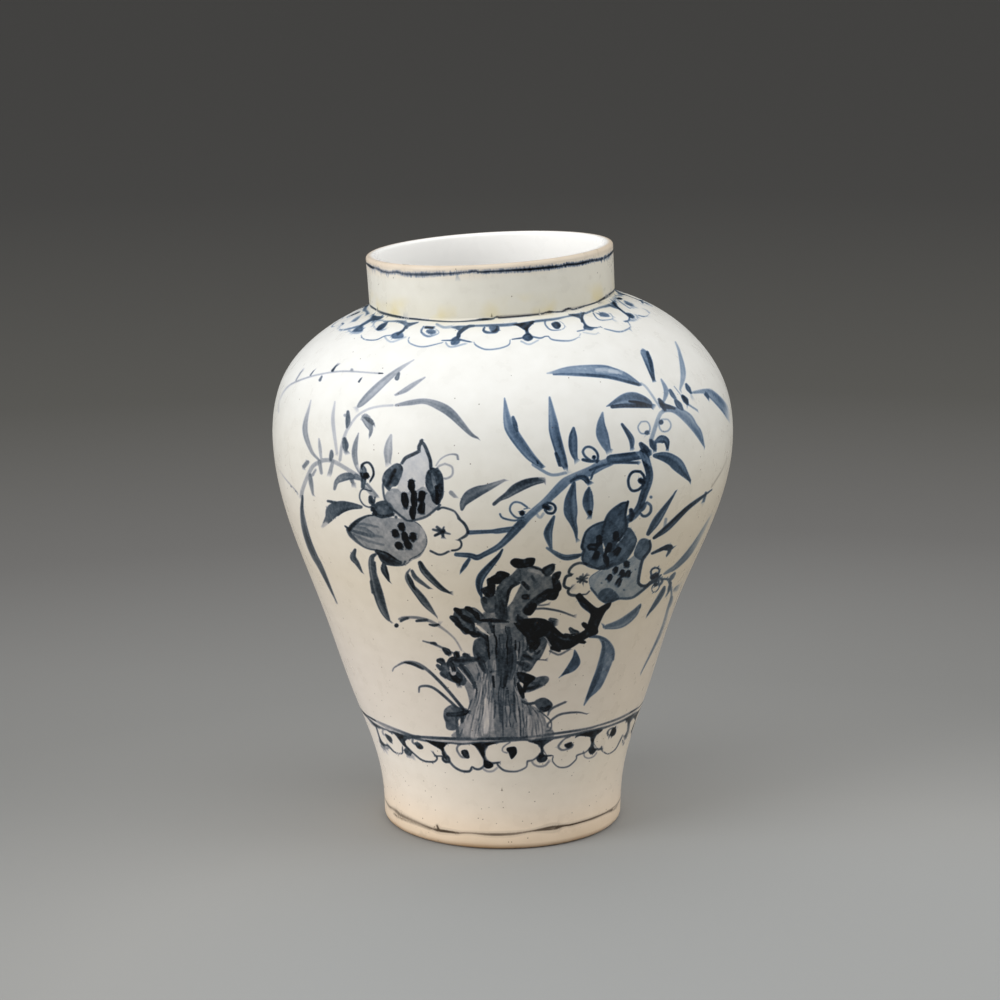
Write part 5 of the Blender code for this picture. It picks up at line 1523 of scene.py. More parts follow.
def mesh_anchors(lowest, highest):
    """Sheet points along the edges of all marks between two lengths up the sheet."""
    found = []
    for layer in LAYERS:
        pixels = np.vstack([anchors(mark) for mark in layer["marks"]])
        pixels = pixels[np.unique(np.round(pixels / ANCHOR_GRID), axis=0, return_index=True)[1]]
        angles, lengths, on_jar = trace(pixels + np.array(layer["move"]))
        found.append(np.column_stack((angles * layer["mirror"] + layer["turn"], lengths))[on_jar])
    for line, ends, width, _, _ in LINES_BEHIND:
        angles = np.arange(ends[0], ends[1], LINE_STEP)
        half = half_width(width, angles)
        for offset in (0 * half, half - EDGE * PIXEL, half + EDGE * PIXEL):
            for side in (-1, 1):
                found.append(np.column_stack((angles, line(angles) + side * offset)))
    points = np.vstack(found)
    points[:, 0] = (points[:, 0] + math.pi) % (2 * math.pi) - math.pi
    return points[(points[:, 1] > lowest) & (points[:, 1] < highest)]


for height in (FOOT_SEAM_HEIGHT, NECK_SEAM_HEIGHT):
    strongest = max(paint(np.zeros(1), np.array([length_at(height)])).items(), key=lambda pair: pair[1][0])
    print(f"strongest ink in front at {height * 1000:.0f} mm: {strongest[0]}, {strongest[1][0]:.2f}")

# %% [markdown]
# ## Profiles of the four thrown sections
#
# Each section is a hollow ring, so its closed profile runs up the outside, over its edge and down the
# inside. The profile is kept as a few smooth lines with a crease where two of them meet. The sections
# meet in the middle of the luting, as on the real jar, where the joint shows as a faint ridge at most.

# %% Section profiles
SKIN_STEP, LINING_STEP, FLOOR_STEP = 0.002, 0.004, 0.008
FOOT_EDGE = WALL_STATIONS[0][1]
MOUTH_RADIUS = NECK_SEAT_RADIUS - NECK_WALL
FLOOR_HEIGHT, FLOOR_ROUND = 0.0160, 0.0160
RING_EDGE, RING_INSIDE, RECESS_RADIUS, RECESS_DEPTH = 0.0760, 0.0640, 0.0625, 0.0060


def run_of(*points, step=LINING_STEP):
    """A straight-sided line through a few points, filled in with rows."""
    points = np.array(points)
    rows = [points[:1]]
    for a, b in zip(points, points[1:]):
        count = max(1, math.ceil(np.linalg.norm(b - a) / step))
        rows.append(a + (b - a) * (np.arange(1, count + 1) / count)[:, None])
    return np.vstack(rows)


def painted(low, high):
    """The outside of the wall, from low to high."""
    return between(WALL_LINE, low, high, SKIN_STEP)


def lining(low, high):
    """The inside of the wall, from high to low."""
    return between(INSIDE, low, high, LINING_STEP)[::-1]


lip_middle = (LIP_RADIUS - LIP_ROUND, JAR_HEIGHT - LIP_ROUND)
lip_inside = (LIP_RADIUS - NECK_WALL + LIP_ROUND, JAR_HEIGHT - LIP_ROUND)
neck_skin = painted(NECK_SEAM_HEIGHT, JAR_HEIGHT - LIP_ROUND)
neck_lip = np.vstack((corner(lip_middle, LIP_ROUND, 0, 90), corner(lip_inside, LIP_ROUND, 90, 180)))
neck_lining = run_of(neck_lip[-1], (MOUTH_RADIUS, NECK_SEAM_HEIGHT))
upper_skin = painted(BELLY_SEAM_HEIGHT, NECK_SEAM_HEIGHT)
upper_lining = lining(BELLY_SEAM_HEIGHT, INSIDE[-1, 1])
lower_skin = painted(FOOT_SEAM_HEIGHT, BELLY_SEAM_HEIGHT)
lower_lining = lining(FOOT_SEAM_HEIGHT, BELLY_SEAM_HEIGHT)
foot_skin = painted(FOOT_EDGE, FOOT_SEAM_HEIGHT)
recess = [(0.0, RECESS_DEPTH), (RECESS_RADIUS, RECESS_DEPTH), (RING_INSIDE, 0.0), (RING_EDGE, 0.0)]
recess = run_of(*recess, step=FLOOR_STEP)
foot_ground = np.vstack((recess, corner((RING_EDGE, FOOT_EDGE), FOOT_EDGE, -90, 0)[1:]))
foot_inside = lining(FLOOR_HEIGHT + FLOOR_ROUND, FOOT_SEAM_HEIGHT)
foot_corner = corner((foot_inside[-1, 0] - FLOOR_ROUND, FLOOR_HEIGHT + FLOOR_ROUND), FLOOR_ROUND, 0, -90, 8)
foot_floor = np.vstack((foot_corner[1:], run_of(foot_corner[-1], (0.0, FLOOR_HEIGHT), step=FLOOR_STEP)[1:]))

SECTIONS = {
    "neck": {
        "skin": 0,
        "lines": [
            neck_skin,
            np.vstack((neck_lip, neck_lining[1:])),
            run_of((MOUTH_RADIUS, NECK_SEAM_HEIGHT), neck_skin[0]),
        ],
    },
    "upper_body": {
        "skin": 0,
        "lines": [
            upper_skin,
            run_of(upper_skin[-1], (MOUTH_RADIUS, NECK_SEAM_HEIGHT)),
            run_of((MOUTH_RADIUS, NECK_SEAM_HEIGHT), (MOUTH_RADIUS, INSIDE[-1, 1])),
            run_of((MOUTH_RADIUS, INSIDE[-1, 1]), upper_lining[0]),
            upper_lining,
            run_of(upper_lining[-1], upper_skin[0]),
        ],
    },
    "lower_body": {
        "skin": 0,
        "lines": [
            lower_skin,
            run_of(lower_skin[-1], lower_lining[0]),
            lower_lining,
            run_of(lower_lining[-1], lower_skin[0]),
        ],
    },
    "foot": {
        "skin": 1,
        "lines": [foot_ground, foot_skin, run_of(foot_skin[-1], foot_inside[0]), foot_inside, foot_floor],
    },
}
for name, section in SECTIONS.items():
    print(f"{name}: {len(section['lines'])} lines, {sum(map(len, section['lines']))} rows in its profile")

# %% [markdown]
# ## Turning a profile into a shell
#
# A lathe or a spin would give even quads, far too coarse for brush strokes or far too many. Instead the
# wall is unrolled flat, points are set thickly along the edges of the brushwork and thinly elsewhere,
# and a Delaunay triangulation joins them. Then the flat sheet is wrapped round and slumped. Rings of
# points are set finest at the seams, so that two sections meet there without a gap.

# %% Flat points
SKIN_COLUMNS = 0.0045
LINING_COLUMNS = 0.0080
SEAM_COLUMNS = 0.0010
BELLY_SEAM_COLUMNS = 0.0005
LEAST_RADIUS = 0.02
TOUCH = 1e-6


def roll_out(lines):
    """How far along the whole profile each row of each line lies."""
    places, start = [], 0.0
    for rows in lines:
        places.append(start + np.append(0, np.cumsum(np.linalg.norm(np.diff(rows, axis=0), axis=1))))
        start = places[-1][-1]
    return places


def ring(radius, along, step):
    """A level ring of flat points, from the jar's back round its front to its back again."""
    count = 2 * math.ceil(math.pi * max(radius, LEAST_RADIUS) / step) + 1
    return np.column_stack((np.linspace(-math.pi, math.pi, count), np.full(count, along)))


def flat_points(section, places):
    """All flat points of a shell, and the edges that hold its creases."""
    blocks, creases, done, count = [], [], set(), 0
    for index, (rows, along) in enumerate(zip(section["lines"], places)):
        skin = index == section["skin"]
        for row in range(2, len(rows) - 1, 2) if skin else range(1, len(rows) - 1):
            blocks.append(ring(rows[:, 0].max(), along[row], SKIN_COLUMNS if skin else LINING_COLUMNS))
            if not skin:
                creases += [(count + i, count + i + 1) for i in range(len(blocks[-1]) - 1)]
            count += len(blocks[-1])
        for row in (0, -1):
            touches = any(abs(along[row] - places[section["skin"]][end]) < TOUCH for end in (0, -1))
            step = SEAM_COLUMNS if touches else SKIN_COLUMNS
            if touches and abs(rows[row, 1] - BELLY_SEAM_HEIGHT) < TOUCH:
                step = BELLY_SEAM_COLUMNS
            if round(along[row], 7) not in done:
                done.add(round(along[row], 7))
                blocks.append(ring(rows[row, 0], along[row], step))
                creases += [(count + i, count + i + 1) for i in range(len(blocks[-1]) - 1)]
                count += len(blocks[-1])
    return np.vstack(blocks), creases


print("rings set: finest", BELLY_SEAM_COLUMNS * 1000, "mm at the belly seam")

# %% [markdown]
# The first and last ring of a closed profile are the same ring, and so are the two ends of the sheet,
# so those points are merged. Normals are worked out from the smooth profile, not from the triangles,
# or the glaze's reflections would show every facet. Each shell also gets its own flat map, with the
# painted outside laid out in two half-turns, for programs that need the colours as a picture.

# %% Shell normals and maps
NORMAL_STEP = 0.0002
MAP_GAP = 0.012


def place_on(section, places, angles, along):
    """Points of a shell on the fired jar."""
    lengths, rows = np.concatenate(places), np.vstack(section["lines"])
    radius, height = np.interp(along, lengths, rows[:, 0]), np.interp(along, lengths, rows[:, 1])
    return np.stack((radius * np.sin(angles), -radius * np.cos(angles), height), axis=-1)


def shell_normals(section, places, angles, along, line):
    """Smooth normals of face corners, each taken on its own side of a crease."""
    starts = np.array([rows[0] for rows in places])[line]
    ends = np.array([rows[-1] for rows in places])[line]
    turned = np.stack((np.cos(angles), np.sin(angles), np.zeros(len(angles))), axis=-1) * NORMAL_STEP
    here = place_on(section, places, angles, along)
    across = slump(here + turned) - slump(here - turned)
    higher = place_on(section, places, angles, np.minimum(along + NORMAL_STEP, ends))
    lower = place_on(section, places, angles, np.maximum(along - NORMAL_STEP, starts))
    normal = np.cross(across, slump(higher) - slump(lower))
    return normal / np.linalg.norm(normal, axis=1)[:, None]


def flat_map(section, places, angles, along, line):
    """Map coordinates: two half-turns of the skin in strips, the rest in a third."""
    skin = section["skin"]
    start, end, total = places[skin][0], places[skin][-1], places[-1][-1]
    rest = (total - (end - start)) / 2
    height = 2 * (end - start) + rest
    strips = np.array([end - start, end - start, rest]) / height
    bottoms = np.append(0, np.cumsum(strips))[:3]
    on_skin = line == skin
    middle = angles.reshape(-1, 3).mean(axis=1).repeat(3)
    half = np.where(on_skin, np.where(middle < 0, 0, 1), 2)
    turn = np.where(on_skin, angles / math.pi + (half == 0), angles / (2 * math.pi) + 0.5)
    beyond = along - start
    other = np.where(along > end - TOUCH, along - (end - start), along) / (total - (end - start))
    rise = np.where(on_skin, beyond / (end - start), other)
    u = MAP_GAP + turn * (1 - 2 * MAP_GAP)
    v = bottoms[half] + MAP_GAP / 2 + rise * (strips[half] - MAP_GAP)
    return np.column_stack((u, v))


print(f"normals are taken over {2 * NORMAL_STEP * 1000:.1f} mm")

# %% [markdown]
# Now a shell can be made: points, triangles, the merge, the wrap, the normals and last the painting.
# Marks that cross the back seam need the same points on both ends of the sheet, or a crack would show.

# %% Shells
ROLL_RADIUS = 0.1200
CLEAR = 0.0002
SEAM_REACH, SEAM_CLEAR = 0.03, 0.002
LIP_REACH, LIP_FADE = 0.0030, 0.0025
HAIR = 1e-7
MERGE_GRID = (1e6, 1e7)


def edge_sheet(low, high):
    """Sheet points for the edges of marks, with matching ones on both ends of the sheet."""
    points = mesh_anchors(low + CLEAR, high - CLEAR)
    crossings = np.unique(np.round(points[np.abs(points[:, 0]) > math.pi - SEAM_REACH, 1], 4))
    crossings = crossings[(crossings > low + CLEAR) & (crossings < high - CLEAR)]
    points = points[np.abs(points[:, 0]) < math.pi - SEAM_CLEAR]
    for side in (-math.pi, math.pi):
        points = np.vstack((points, np.column_stack((np.full(len(crossings), side), crossings))))
    return points


def shell(name):
    """One painted section as a mesh object."""
    section = SECTIONS[name]
    lines, skin = section["lines"], section["skin"]
    places = roll_out(lines)
    total = places[-1][-1]
    start, end = places[skin][0], places[skin][-1]
    low, high = length_at(lines[skin][0, 1]), length_at(lines[skin][-1, 1])
    stretch = (end - start) / (high - low)

    # The flat sheet, joined into triangles.
    flat, creases = flat_points(section, places)
    edge_points = edge_sheet(low, high)
    edge_points[:, 1] = start + (edge_points[:, 1] - low) * stretch
    flat = np.vstack((flat, edge_points)) * (ROLL_RADIUS, 1)
    flat = [Vector(row) for row in flat.tolist()]
    vertices, _, faces, *_ = geometry.delaunay_2d_cdt(flat, creases, [], 0, TOUCH)
    vertices, faces = np.array(vertices), np.array(faces)
    angles, along = vertices[:, 0] / ROLL_RADIUS, vertices[:, 1]

    # Points that are one point on the real wall are merged, and triangles without area go.
    height = np.interp(along, np.concatenate(places), np.vstack(lines)[:, 1])
    radius = np.interp(along, np.concatenate(places), np.vstack(lines)[:, 0])
    closed = np.linalg.norm(lines[-1][-1] - lines[0][0]) < TINY
    key_angle = np.where(radius < HAIR, 0, np.where(angles > math.pi - TOUCH, -math.pi, angles))
    key_along = np.where(closed & (along > total - HAIR), 0, along)
    keys = np.round(np.column_stack((key_angle, key_along)) * MERGE_GRID)
    _, kept, merged = np.unique(keys, axis=0, return_index=True, return_inverse=True)
    merged = merged.reshape(-1)
    triangles = merged[faces]
    whole = (triangles != np.roll(triangles, 1, axis=1)).all(axis=1)
    triangles, faces = triangles[whole], faces[whole]

    # Wrapped round and slumped, with smooth normals and the map for the colours.
    mesh = bpy.data.meshes.new(name)
    points = slump(place_on(section, places, angles[kept], along[kept]))
    mesh.from_pydata(points.tolist(), [], triangles.tolist())
    corner_angle, corner_along = angles[faces].reshape(-1), along[faces].reshape(-1)
    centre = along[faces].mean(axis=1)
    line = np.clip(np.searchsorted([rows[-1] for rows in places], centre), 0, len(lines) - 1).repeat(3)
    mesh.shade_smooth()
    mesh.normals_split_custom_set(shell_normals(section, places, corner_angle, corner_along, line).tolist())
    layer = mesh.uv_layers.new(name="OFBake")
    layer.uv.foreach_set("vector", flat_map(section, places, corner_angle, corner_along, line).ravel())

    # The painting, as one number for each ink at each point.
    here = key_along[kept]
    on_skin = (here > start - TOUCH) & (here < end + TOUCH)
    lengths = low + (here - start) / stretch
    values = {"height": height[kept], "skin": np.clip(1 - (here - end - LIP_REACH) / LIP_FADE, 0, 1)}
    for ink, density in paint(key_angle[kept][on_skin], lengths[on_skin]).items():
        values[ink] = np.zeros(len(kept))
        values[ink][on_skin] = density
    for key, numbers in values.items():
        mesh.attributes.new(key, "FLOAT", "POINT").data.foreach_set("value", numbers)
    section_object = bpy.data.objects.new(name + "_wall", mesh)
    bpy.context.collection.objects.link(section_object)
    print(f"{name}: {len(points)} points, {len(triangles)} faces")
    return section_object


walls = {name: shell(name) for name in SECTIONS}

# %% [markdown]
# ## Colours and nodes
#
# Colours are written as sRGB hex, as a paint program shows them, and one function turns them into the
# linear values that Blender mixes light in. One more small function adds a shader node with its
# settings and links, so that a material reads as a list of what is done to the surface.

# %% Colour and node helpers
MIX_A, MIX_B, MIX_RESULT = 6, 7, 2
MULTIPLIED = {"data_type": "RGBA", "blend_type": "MULTIPLY"}
COVERED = {"data_type": "RGBA"}


def linear(code):
    """sRGB hex to linear RGBA."""
    parts = [int(code[i : i + 2], 16) / 255 for i in (1, 3, 5)]
    return [c / 12.92 if c <= 0.04045 else ((c + 0.055) / 1.055) ** 2.4 for c in parts] + [1.0]


def add(tree, kind, sockets=None, stops=(), **settings):
    """Adds a node, gives it its settings and ramp stops, and sets or links its sockets."""
    node = tree.nodes.new(kind)
    for key, value in settings.items():
        setattr(node, key, value)
    for key, value in (sockets or {}).items():
        if isinstance(value, bpy.types.NodeSocket):
            tree.links.new(value, node.inputs[key])
        else:
            node.inputs[key].default_value = value
    if stops:
        while len(node.color_ramp.elements) < len(stops):
            node.color_ramp.elements.new(0.5)
        for element, (where, colour) in zip(node.color_ramp.elements, stops):
            element.position, element.color = where, colour
    return node


def hexes(stops):
    """Ramp stops whose colours are given as sRGB hex."""
    return [(where, linear(code)) for where, code in stops]


def amounts(stops):
    """Ramp stops for a plain amount, or for three that multiply red, green and blue."""
    return [(where, (*(np.ones(3) * amount).tolist(), 1)) for where, amount in stops]


print("the shoulder's glaze in linear light:", [round(c, 3) for c in linear("#f2f1ee")[:3]])

# %% [markdown]
# ## Clear glaze over a toned body
#
# Porcelain is white clay under a clear lime glaze. Where the kiln's air was cleanest, on the
# shoulder, it is a cool white. Lower down it is cream, and at the foot pinkish buff, where the glaze
# ran thin and took iron from the clay. The tones by height also hold painted light and shade: the
# shoulder is paler and the middle of the belly darker, as the light fell on the real jar. The painting
# lies under the glaze, so each ink multiplies the tone below it. An image of the painting would be the
# usual way, but the numbers stored at the mesh points need no image and stay sharp from close by.

# %% Tones of the glaze and the inks
# The glaze's own colour from foot to lip, with painted shade and painted light by height.
GLAZE_TONES_AND_PAINTED_SHADE = [
    (0.000, "#b08d68"),
    (0.010, "#ddc7ac"),
    (0.030, "#e9d5bd"),
    (0.080, "#ebdecd"),
    (0.140, "#eee4d5"),
    (0.240, "#e5dacb"),
    (0.320, "#dfd4c5"),
    (0.480, "#dfd3be"),
    (0.570, "#e2d9c8"),
    (0.660, "#e3dfd4"),
    (0.750, "#e4e3dd"),
    (0.820, "#eaeae6"),
    (0.895, "#eaeae6"),
    (0.915, "#dedbcf"),
    (0.975, "#e1ded3"),
    (0.985, "#e3dbcc"),
    (1.000, "#dccdb9"),
]
# Tone round the jar: warmer from the fire, darker on the right as painted shade, paler on the left as painted
# light.
FIRE_SIDE_AND_PAINTED_SHADE = [
    (0.000, (0.990, 1.000, 1.040)),
    (0.200, (0.955, 0.960, 0.980)),
    (0.350, (0.910, 0.910, 0.920)),
    (0.500, (0.885, 0.885, 0.885)),
    (0.750, (0.900, 0.893, 0.878)),
    (0.875, (0.885, 0.863, 0.820)),
    (1.000, (0.865, 0.830, 0.770)),
]
FIRE_AND_SHADE_REACH = [(0.05, 0.35), (0.14, 1.0), (0.60, 1.0), (0.70, 0.25), (0.88, 0.2), (0.92, 0.4)]
SPECK_SHARE = [(0.10, 0.9), (0.30, 0.45), (0.60, 0.15), (0.90, 0.12)]
STAIN_REACH = [(-0.006, 0.0), (0.006, 1.0), (0.022, 0.6), (0.040, 0.0)]
COBALT_TINTS = [
    (0.00, "#ffffff"),
    (0.15, "#c8d4e6"),
    (0.30, "#95a9c4"),
    (0.45, "#6c84a4"),
    (0.60, "#49607d"),
    (0.75, "#2f425a"),
    (0.90, "#142438"),
    (1.00, "#05101f"),
]
GREY_TINTS = [
    (0.00, "#ffffff"),
    (0.15, "#d3d7e4"),
    (0.30, "#a5acba"),
    (0.45, "#7a8595"),
    (0.60, "#536173"),
    (0.75, "#324050"),
    (0.90, "#131b27"),
    (1.00, "#05070b"),
]

print(f"{len(GLAZE_TONES_AND_PAINTED_SHADE)} tones from foot to lip, {len(COBALT_TINTS)} strengths of each blue")

# %% [markdown]
# The material is a list of what happened to the surface, from the clay to the kiln. It starts with
# the numbers stored at the mesh points: the height before the slump, whether the point is on the
# outside, and how much of each ink lies there. Cloudy drifts of tone come first.

# %% Glaze
# Clear lime glaze over white porcelain, dipped and fired: soft highlights, cloudy cream and white.
glaze = bpy.data.materials.new("clear_glaze_over_cobalt")
glaze.use_nodes = True
tree = glaze.node_tree
surface = tree.nodes["Principled BSDF"]
where = add(tree, "ShaderNodeTexCoord").outputs["Object"]
rise, skin, cobalt, grey_cobalt, iron = (
    add(tree, "ShaderNodeAttribute", attribute_name=key).outputs["Fac"]
    for key in ("height", "skin", "cobalt", "grey_cobalt", "iron")
)

# Cloudy drifts of tone, 60 mm and 12 mm across, move the bands of colour up and down a little.
drift = add(tree, "ShaderNodeTexNoise", {"Vector": where, "Scale": 1 / 0.060, "Detail": 3.0}).outputs["Fac"]
mottle = add(tree, "ShaderNodeTexNoise", {"Vector": where, "Scale": 1 / 0.012, "Detail": 4.0}).outputs["Fac"]
share = add(tree, "ShaderNodeMath", {0: rise, 1: 1 / JAR_HEIGHT}, operation="MULTIPLY").outputs[0]
wander = add(tree, "ShaderNodeMath", {0: drift, 1: 0.02, 2: share}, operation="MULTIPLY_ADD").outputs[0]
wander = add(tree, "ShaderNodeMath", {0: wander, 1: 0.010}, operation="SUBTRACT").outputs[0]
tone = add(tree, "ShaderNodeValToRGB", {"Fac": wander}, hexes(GLAZE_TONES_AND_PAINTED_SHADE)).outputs["Color"]
shade = amounts([(0.30, (0.965, 0.96, 0.95)), (0.70, 1.02)])
shade = add(tree, "ShaderNodeValToRGB", {"Fac": mottle}, shade).outputs["Color"]
tone = add(tree, "ShaderNodeMix", {0: 1.0, MIX_A: tone, MIX_B: shade}, **MULTIPLIED).outputs[MIX_RESULT]
print("glaze nodes so far:", len(tree.nodes))

# %% [markdown]
# The right side is warmer and darker, most of all low down, and the left paler and cooler: partly the side that
# faced the fire, partly painted shade on the right, away from the key light, and painted light on the left, towards
# it. X on a circle of one says which side.

# %% Fire side and painted shade
round_it = add(tree, "ShaderNodeVectorMath", {0: where, 1: (1, 1, 0)}, operation="MULTIPLY").outputs["Vector"]
round_it = add(tree, "ShaderNodeVectorMath", {0: round_it}, operation="NORMALIZE").outputs["Vector"]
side = add(tree, "ShaderNodeSeparateXYZ", {0: round_it}).outputs["X"]
side = add(tree, "ShaderNodeMath", {0: side, 1: 0.5, 2: 0.5}, operation="MULTIPLY_ADD").outputs[0]
warmth_and_painted_shade = add(tree, "ShaderNodeValToRGB", {"Fac": side}, amounts(FIRE_SIDE_AND_PAINTED_SHADE)).outputs["Color"]
low_down = add(tree, "ShaderNodeValToRGB", {"Fac": share}, amounts(FIRE_AND_SHADE_REACH)).outputs["Color"]
tone = add(tree, "ShaderNodeMix", {0: low_down, MIX_A: tone, MIX_B: warmth_and_painted_shade}, **MULTIPLIED).outputs[MIX_RESULT]
print("glaze nodes so far:", len(tree.nodes))

# %% [markdown]
# Ochre has soaked into the glaze here and there just above the neck's seam.

# %% Stains and plain inside
seam_share = NECK_SEAT_HEIGHT / JAR_HEIGHT
soak = amounts([(seam_share + place, amount) for place, amount in STAIN_REACH])
soak = add(tree, "ShaderNodeValToRGB", {"Fac": share}, soak).outputs["Color"]
patches = add(tree, "ShaderNodeTexNoise", {"Vector": where, "Scale": 1 / 0.022, "Detail": 2.0}).outputs["Fac"]
patches = add(tree, "ShaderNodeMapRange", {0: patches, 1: 0.48, 2: 0.66, 3: 0.1, 4: 0.9}).outputs[0]
soak = add(tree, "ShaderNodeMath", {0: soak, 1: patches}, operation="MULTIPLY").outputs[0]
ochre = linear("#fdf3ce")
tone = add(tree, "ShaderNodeMix", {0: soak, MIX_A: tone, MIX_B: ochre}, **MULTIPLIED).outputs[MIX_RESULT]

# Inside the mouth and the jar the glaze is plain, and whiter than outside: painted light for the light that fills
# the mouth.
inner = linear("#fbfaf7")
tone = add(tree, "ShaderNodeMix", {0: skin, MIX_A: inner, MIX_B: tone}, **COVERED).outputs[MIX_RESULT]
print("glaze nodes so far:", len(tree.nodes))

# %% [markdown]
# Heaped cobalt: where the brush left it thick it breaks up into dark grains about a millimetre wide.

# %% Inks under the glaze
grain = add(tree, "ShaderNodeTexNoise", {"Vector": where, "Scale": 1 / 0.0018, "Detail": 3.0}).outputs["Fac"]
grain = add(tree, "ShaderNodeMapRange", {0: grain, 1: 0.35, 2: 0.65, 3: 0.90, 4: 1.08}).outputs[0]
for ink, tints in ((cobalt, COBALT_TINTS), (grey_cobalt, GREY_TINTS)):
    laid = add(tree, "ShaderNodeMath", {0: ink, 1: grain}, operation="MULTIPLY").outputs[0]
    tint = add(tree, "ShaderNodeValToRGB", {"Fac": laid}, hexes(tints)).outputs["Color"]
    tone = add(tree, "ShaderNodeMix", {0: 1.0, MIX_A: tone, MIX_B: tint}, **MULTIPLIED).outputs[MIX_RESULT]
tone = add(tree, "ShaderNodeMix", {0: iron, MIX_A: tone, MIX_B: linear("#36281b")}, **COVERED).outputs[MIX_RESULT]
print("glaze nodes so far:", len(tree.nodes))

# %% [markdown]
# Iron in the clay burnt out as dark specks under half a millimetre across, more of them low down.

# %% Specks
specks = add(tree, "ShaderNodeTexVoronoi", {"Vector": where, "Scale": 1 / 0.005})
chosen = add(tree, "ShaderNodeSeparateColor", {0: specks.outputs["Color"]}).outputs["Red"]
how_many = add(tree, "ShaderNodeValToRGB", {"Fac": share}, amounts(SPECK_SHARE)).outputs["Color"]
chosen = add(tree, "ShaderNodeMath", {0: chosen, 1: how_many}, operation="LESS_THAN").outputs[0]
speck = {0: specks.outputs["Distance"], 1: 0.05, 2: 0.11, 3: 0.75, 4: 0.0}
speck = add(tree, "ShaderNodeMapRange", speck).outputs[0]
speck = add(tree, "ShaderNodeMath", {0: speck, 1: chosen}, operation="MULTIPLY").outputs[0]
speck = add(tree, "ShaderNodeMath", {0: speck, 1: skin}, operation="MULTIPLY").outputs[0]
tone = add(tree, "ShaderNodeMix", {0: speck, MIX_A: tone, MIX_B: linear("#4a3320")}, **COVERED).outputs[MIX_RESULT]
tree.links.new(tone, surface.inputs["Base Color"])
print("glaze nodes so far:", len(tree.nodes))

# %% [markdown]
# The glaze is glass, with an index of refraction of 1.5. Old glaze is worn dull by handling, so its
# roughness is 0.22 to 0.36 and its highlights are weak. Under the light it shows throwing rings about
# 9 mm apart and an orange peel of 3 mm, both far shallower than a tenth of a millimetre.

# %% Gloss and relief
rings = add(tree, "ShaderNodeMath", {0: rise, 1: 2 * math.pi / 0.009}, operation="MULTIPLY").outputs[0]
rings = add(tree, "ShaderNodeMath", {0: drift, 1: 9.0, 2: rings}, operation="MULTIPLY_ADD").outputs[0]
rings = add(tree, "ShaderNodeMath", {0: rings}, operation="SINE").outputs[0]
peel = add(tree, "ShaderNodeTexNoise", {"Vector": where, "Scale": 1 / 0.003, "Detail": 1.0}).outputs["Fac"]
relief = add(tree, "ShaderNodeMath", {0: rings, 1: 0.5, 2: peel}, operation="MULTIPLY_ADD").outputs[0]
bump = add(tree, "ShaderNodeBump", {"Height": relief, "Strength": 1.0, "Distance": 0.00003}).outputs["Normal"]
gloss = add(tree, "ShaderNodeMath", {0: mottle, 1: 0.14, 2: 0.22}, operation="MULTIPLY_ADD").outputs[0]
tree.links.new(bump, surface.inputs["Normal"])
tree.links.new(gloss, surface.inputs["Roughness"])
surface.inputs["IOR"].default_value = 1.5
surface.inputs["Specular IOR Level"].default_value = 0.20
print("glaze nodes so far:", len(tree.nodes))

# %% [markdown]
# All four walls are dipped in the same glaze. Each rides on the jar's one body and stands for its
# turned section, which is hidden.

# %% Dressing the walls
for name, wall in walls.items():
    wall.data.materials.append(glaze)
    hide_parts(name)
    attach(wall, "root")
print("glazed:", ", ".join(wall.name for wall in walls.values()))

# %% [markdown]
# ## Luting on the inside
#
# Thrown sections are joined with slip. Outside it was scraped flush, but inside a hand could only
# smear it, and a soft uneven ridge was left round each joint. Each ridge is a closed ring whose
# thickness wanders with the finger that smoothed it.

# %% Fired slip
# Slip fired without much glaze on it: matt, a little darker than the wall, smeared by a finger.
slip = bpy.data.materials.new("fired_slip")
slip.use_nodes = True
tree = slip.node_tree
surface = tree.nodes["Principled BSDF"]
where = add(tree, "ShaderNodeTexCoord").outputs["Object"]
smear = add(tree, "ShaderNodeTexNoise", {"Vector": where, "Scale": 1 / 0.006, "Detail": 4.0}).outputs["Fac"]
tone = add(tree, "ShaderNodeValToRGB", {"Fac": smear}, hexes([(0.3, "#ddd6c8"), (0.7, "#eeeae0")]))
tree.links.new(tone.outputs["Color"], surface.inputs["Base Color"])
bump = add(tree, "ShaderNodeBump", {"Height": smear, "Distance": 0.0003}).outputs["Normal"]
tree.links.new(bump, surface.inputs["Normal"])
surface.inputs["Roughness"].default_value = 0.35

print("slip nodes:", len(tree.nodes))

# %% Luting rings
BEAD_HEIGHT = 0.0090
BEAD_DEPTH, BEAD_BACK = 0.0024, 0.0010
SEAMS = {}
for name, height in (("foot_luting", FOOT_SEAM_HEIGHT), ("belly_luting", BELLY_SEAM_HEIGHT)):
    SEAMS[name] = (float(np.interp(height, INSIDE[:, 1], INSIDE[:, 0])), height)
SEAMS["neck_luting"] = (MOUTH_RADIUS, NECK_SEAM_HEIGHT)


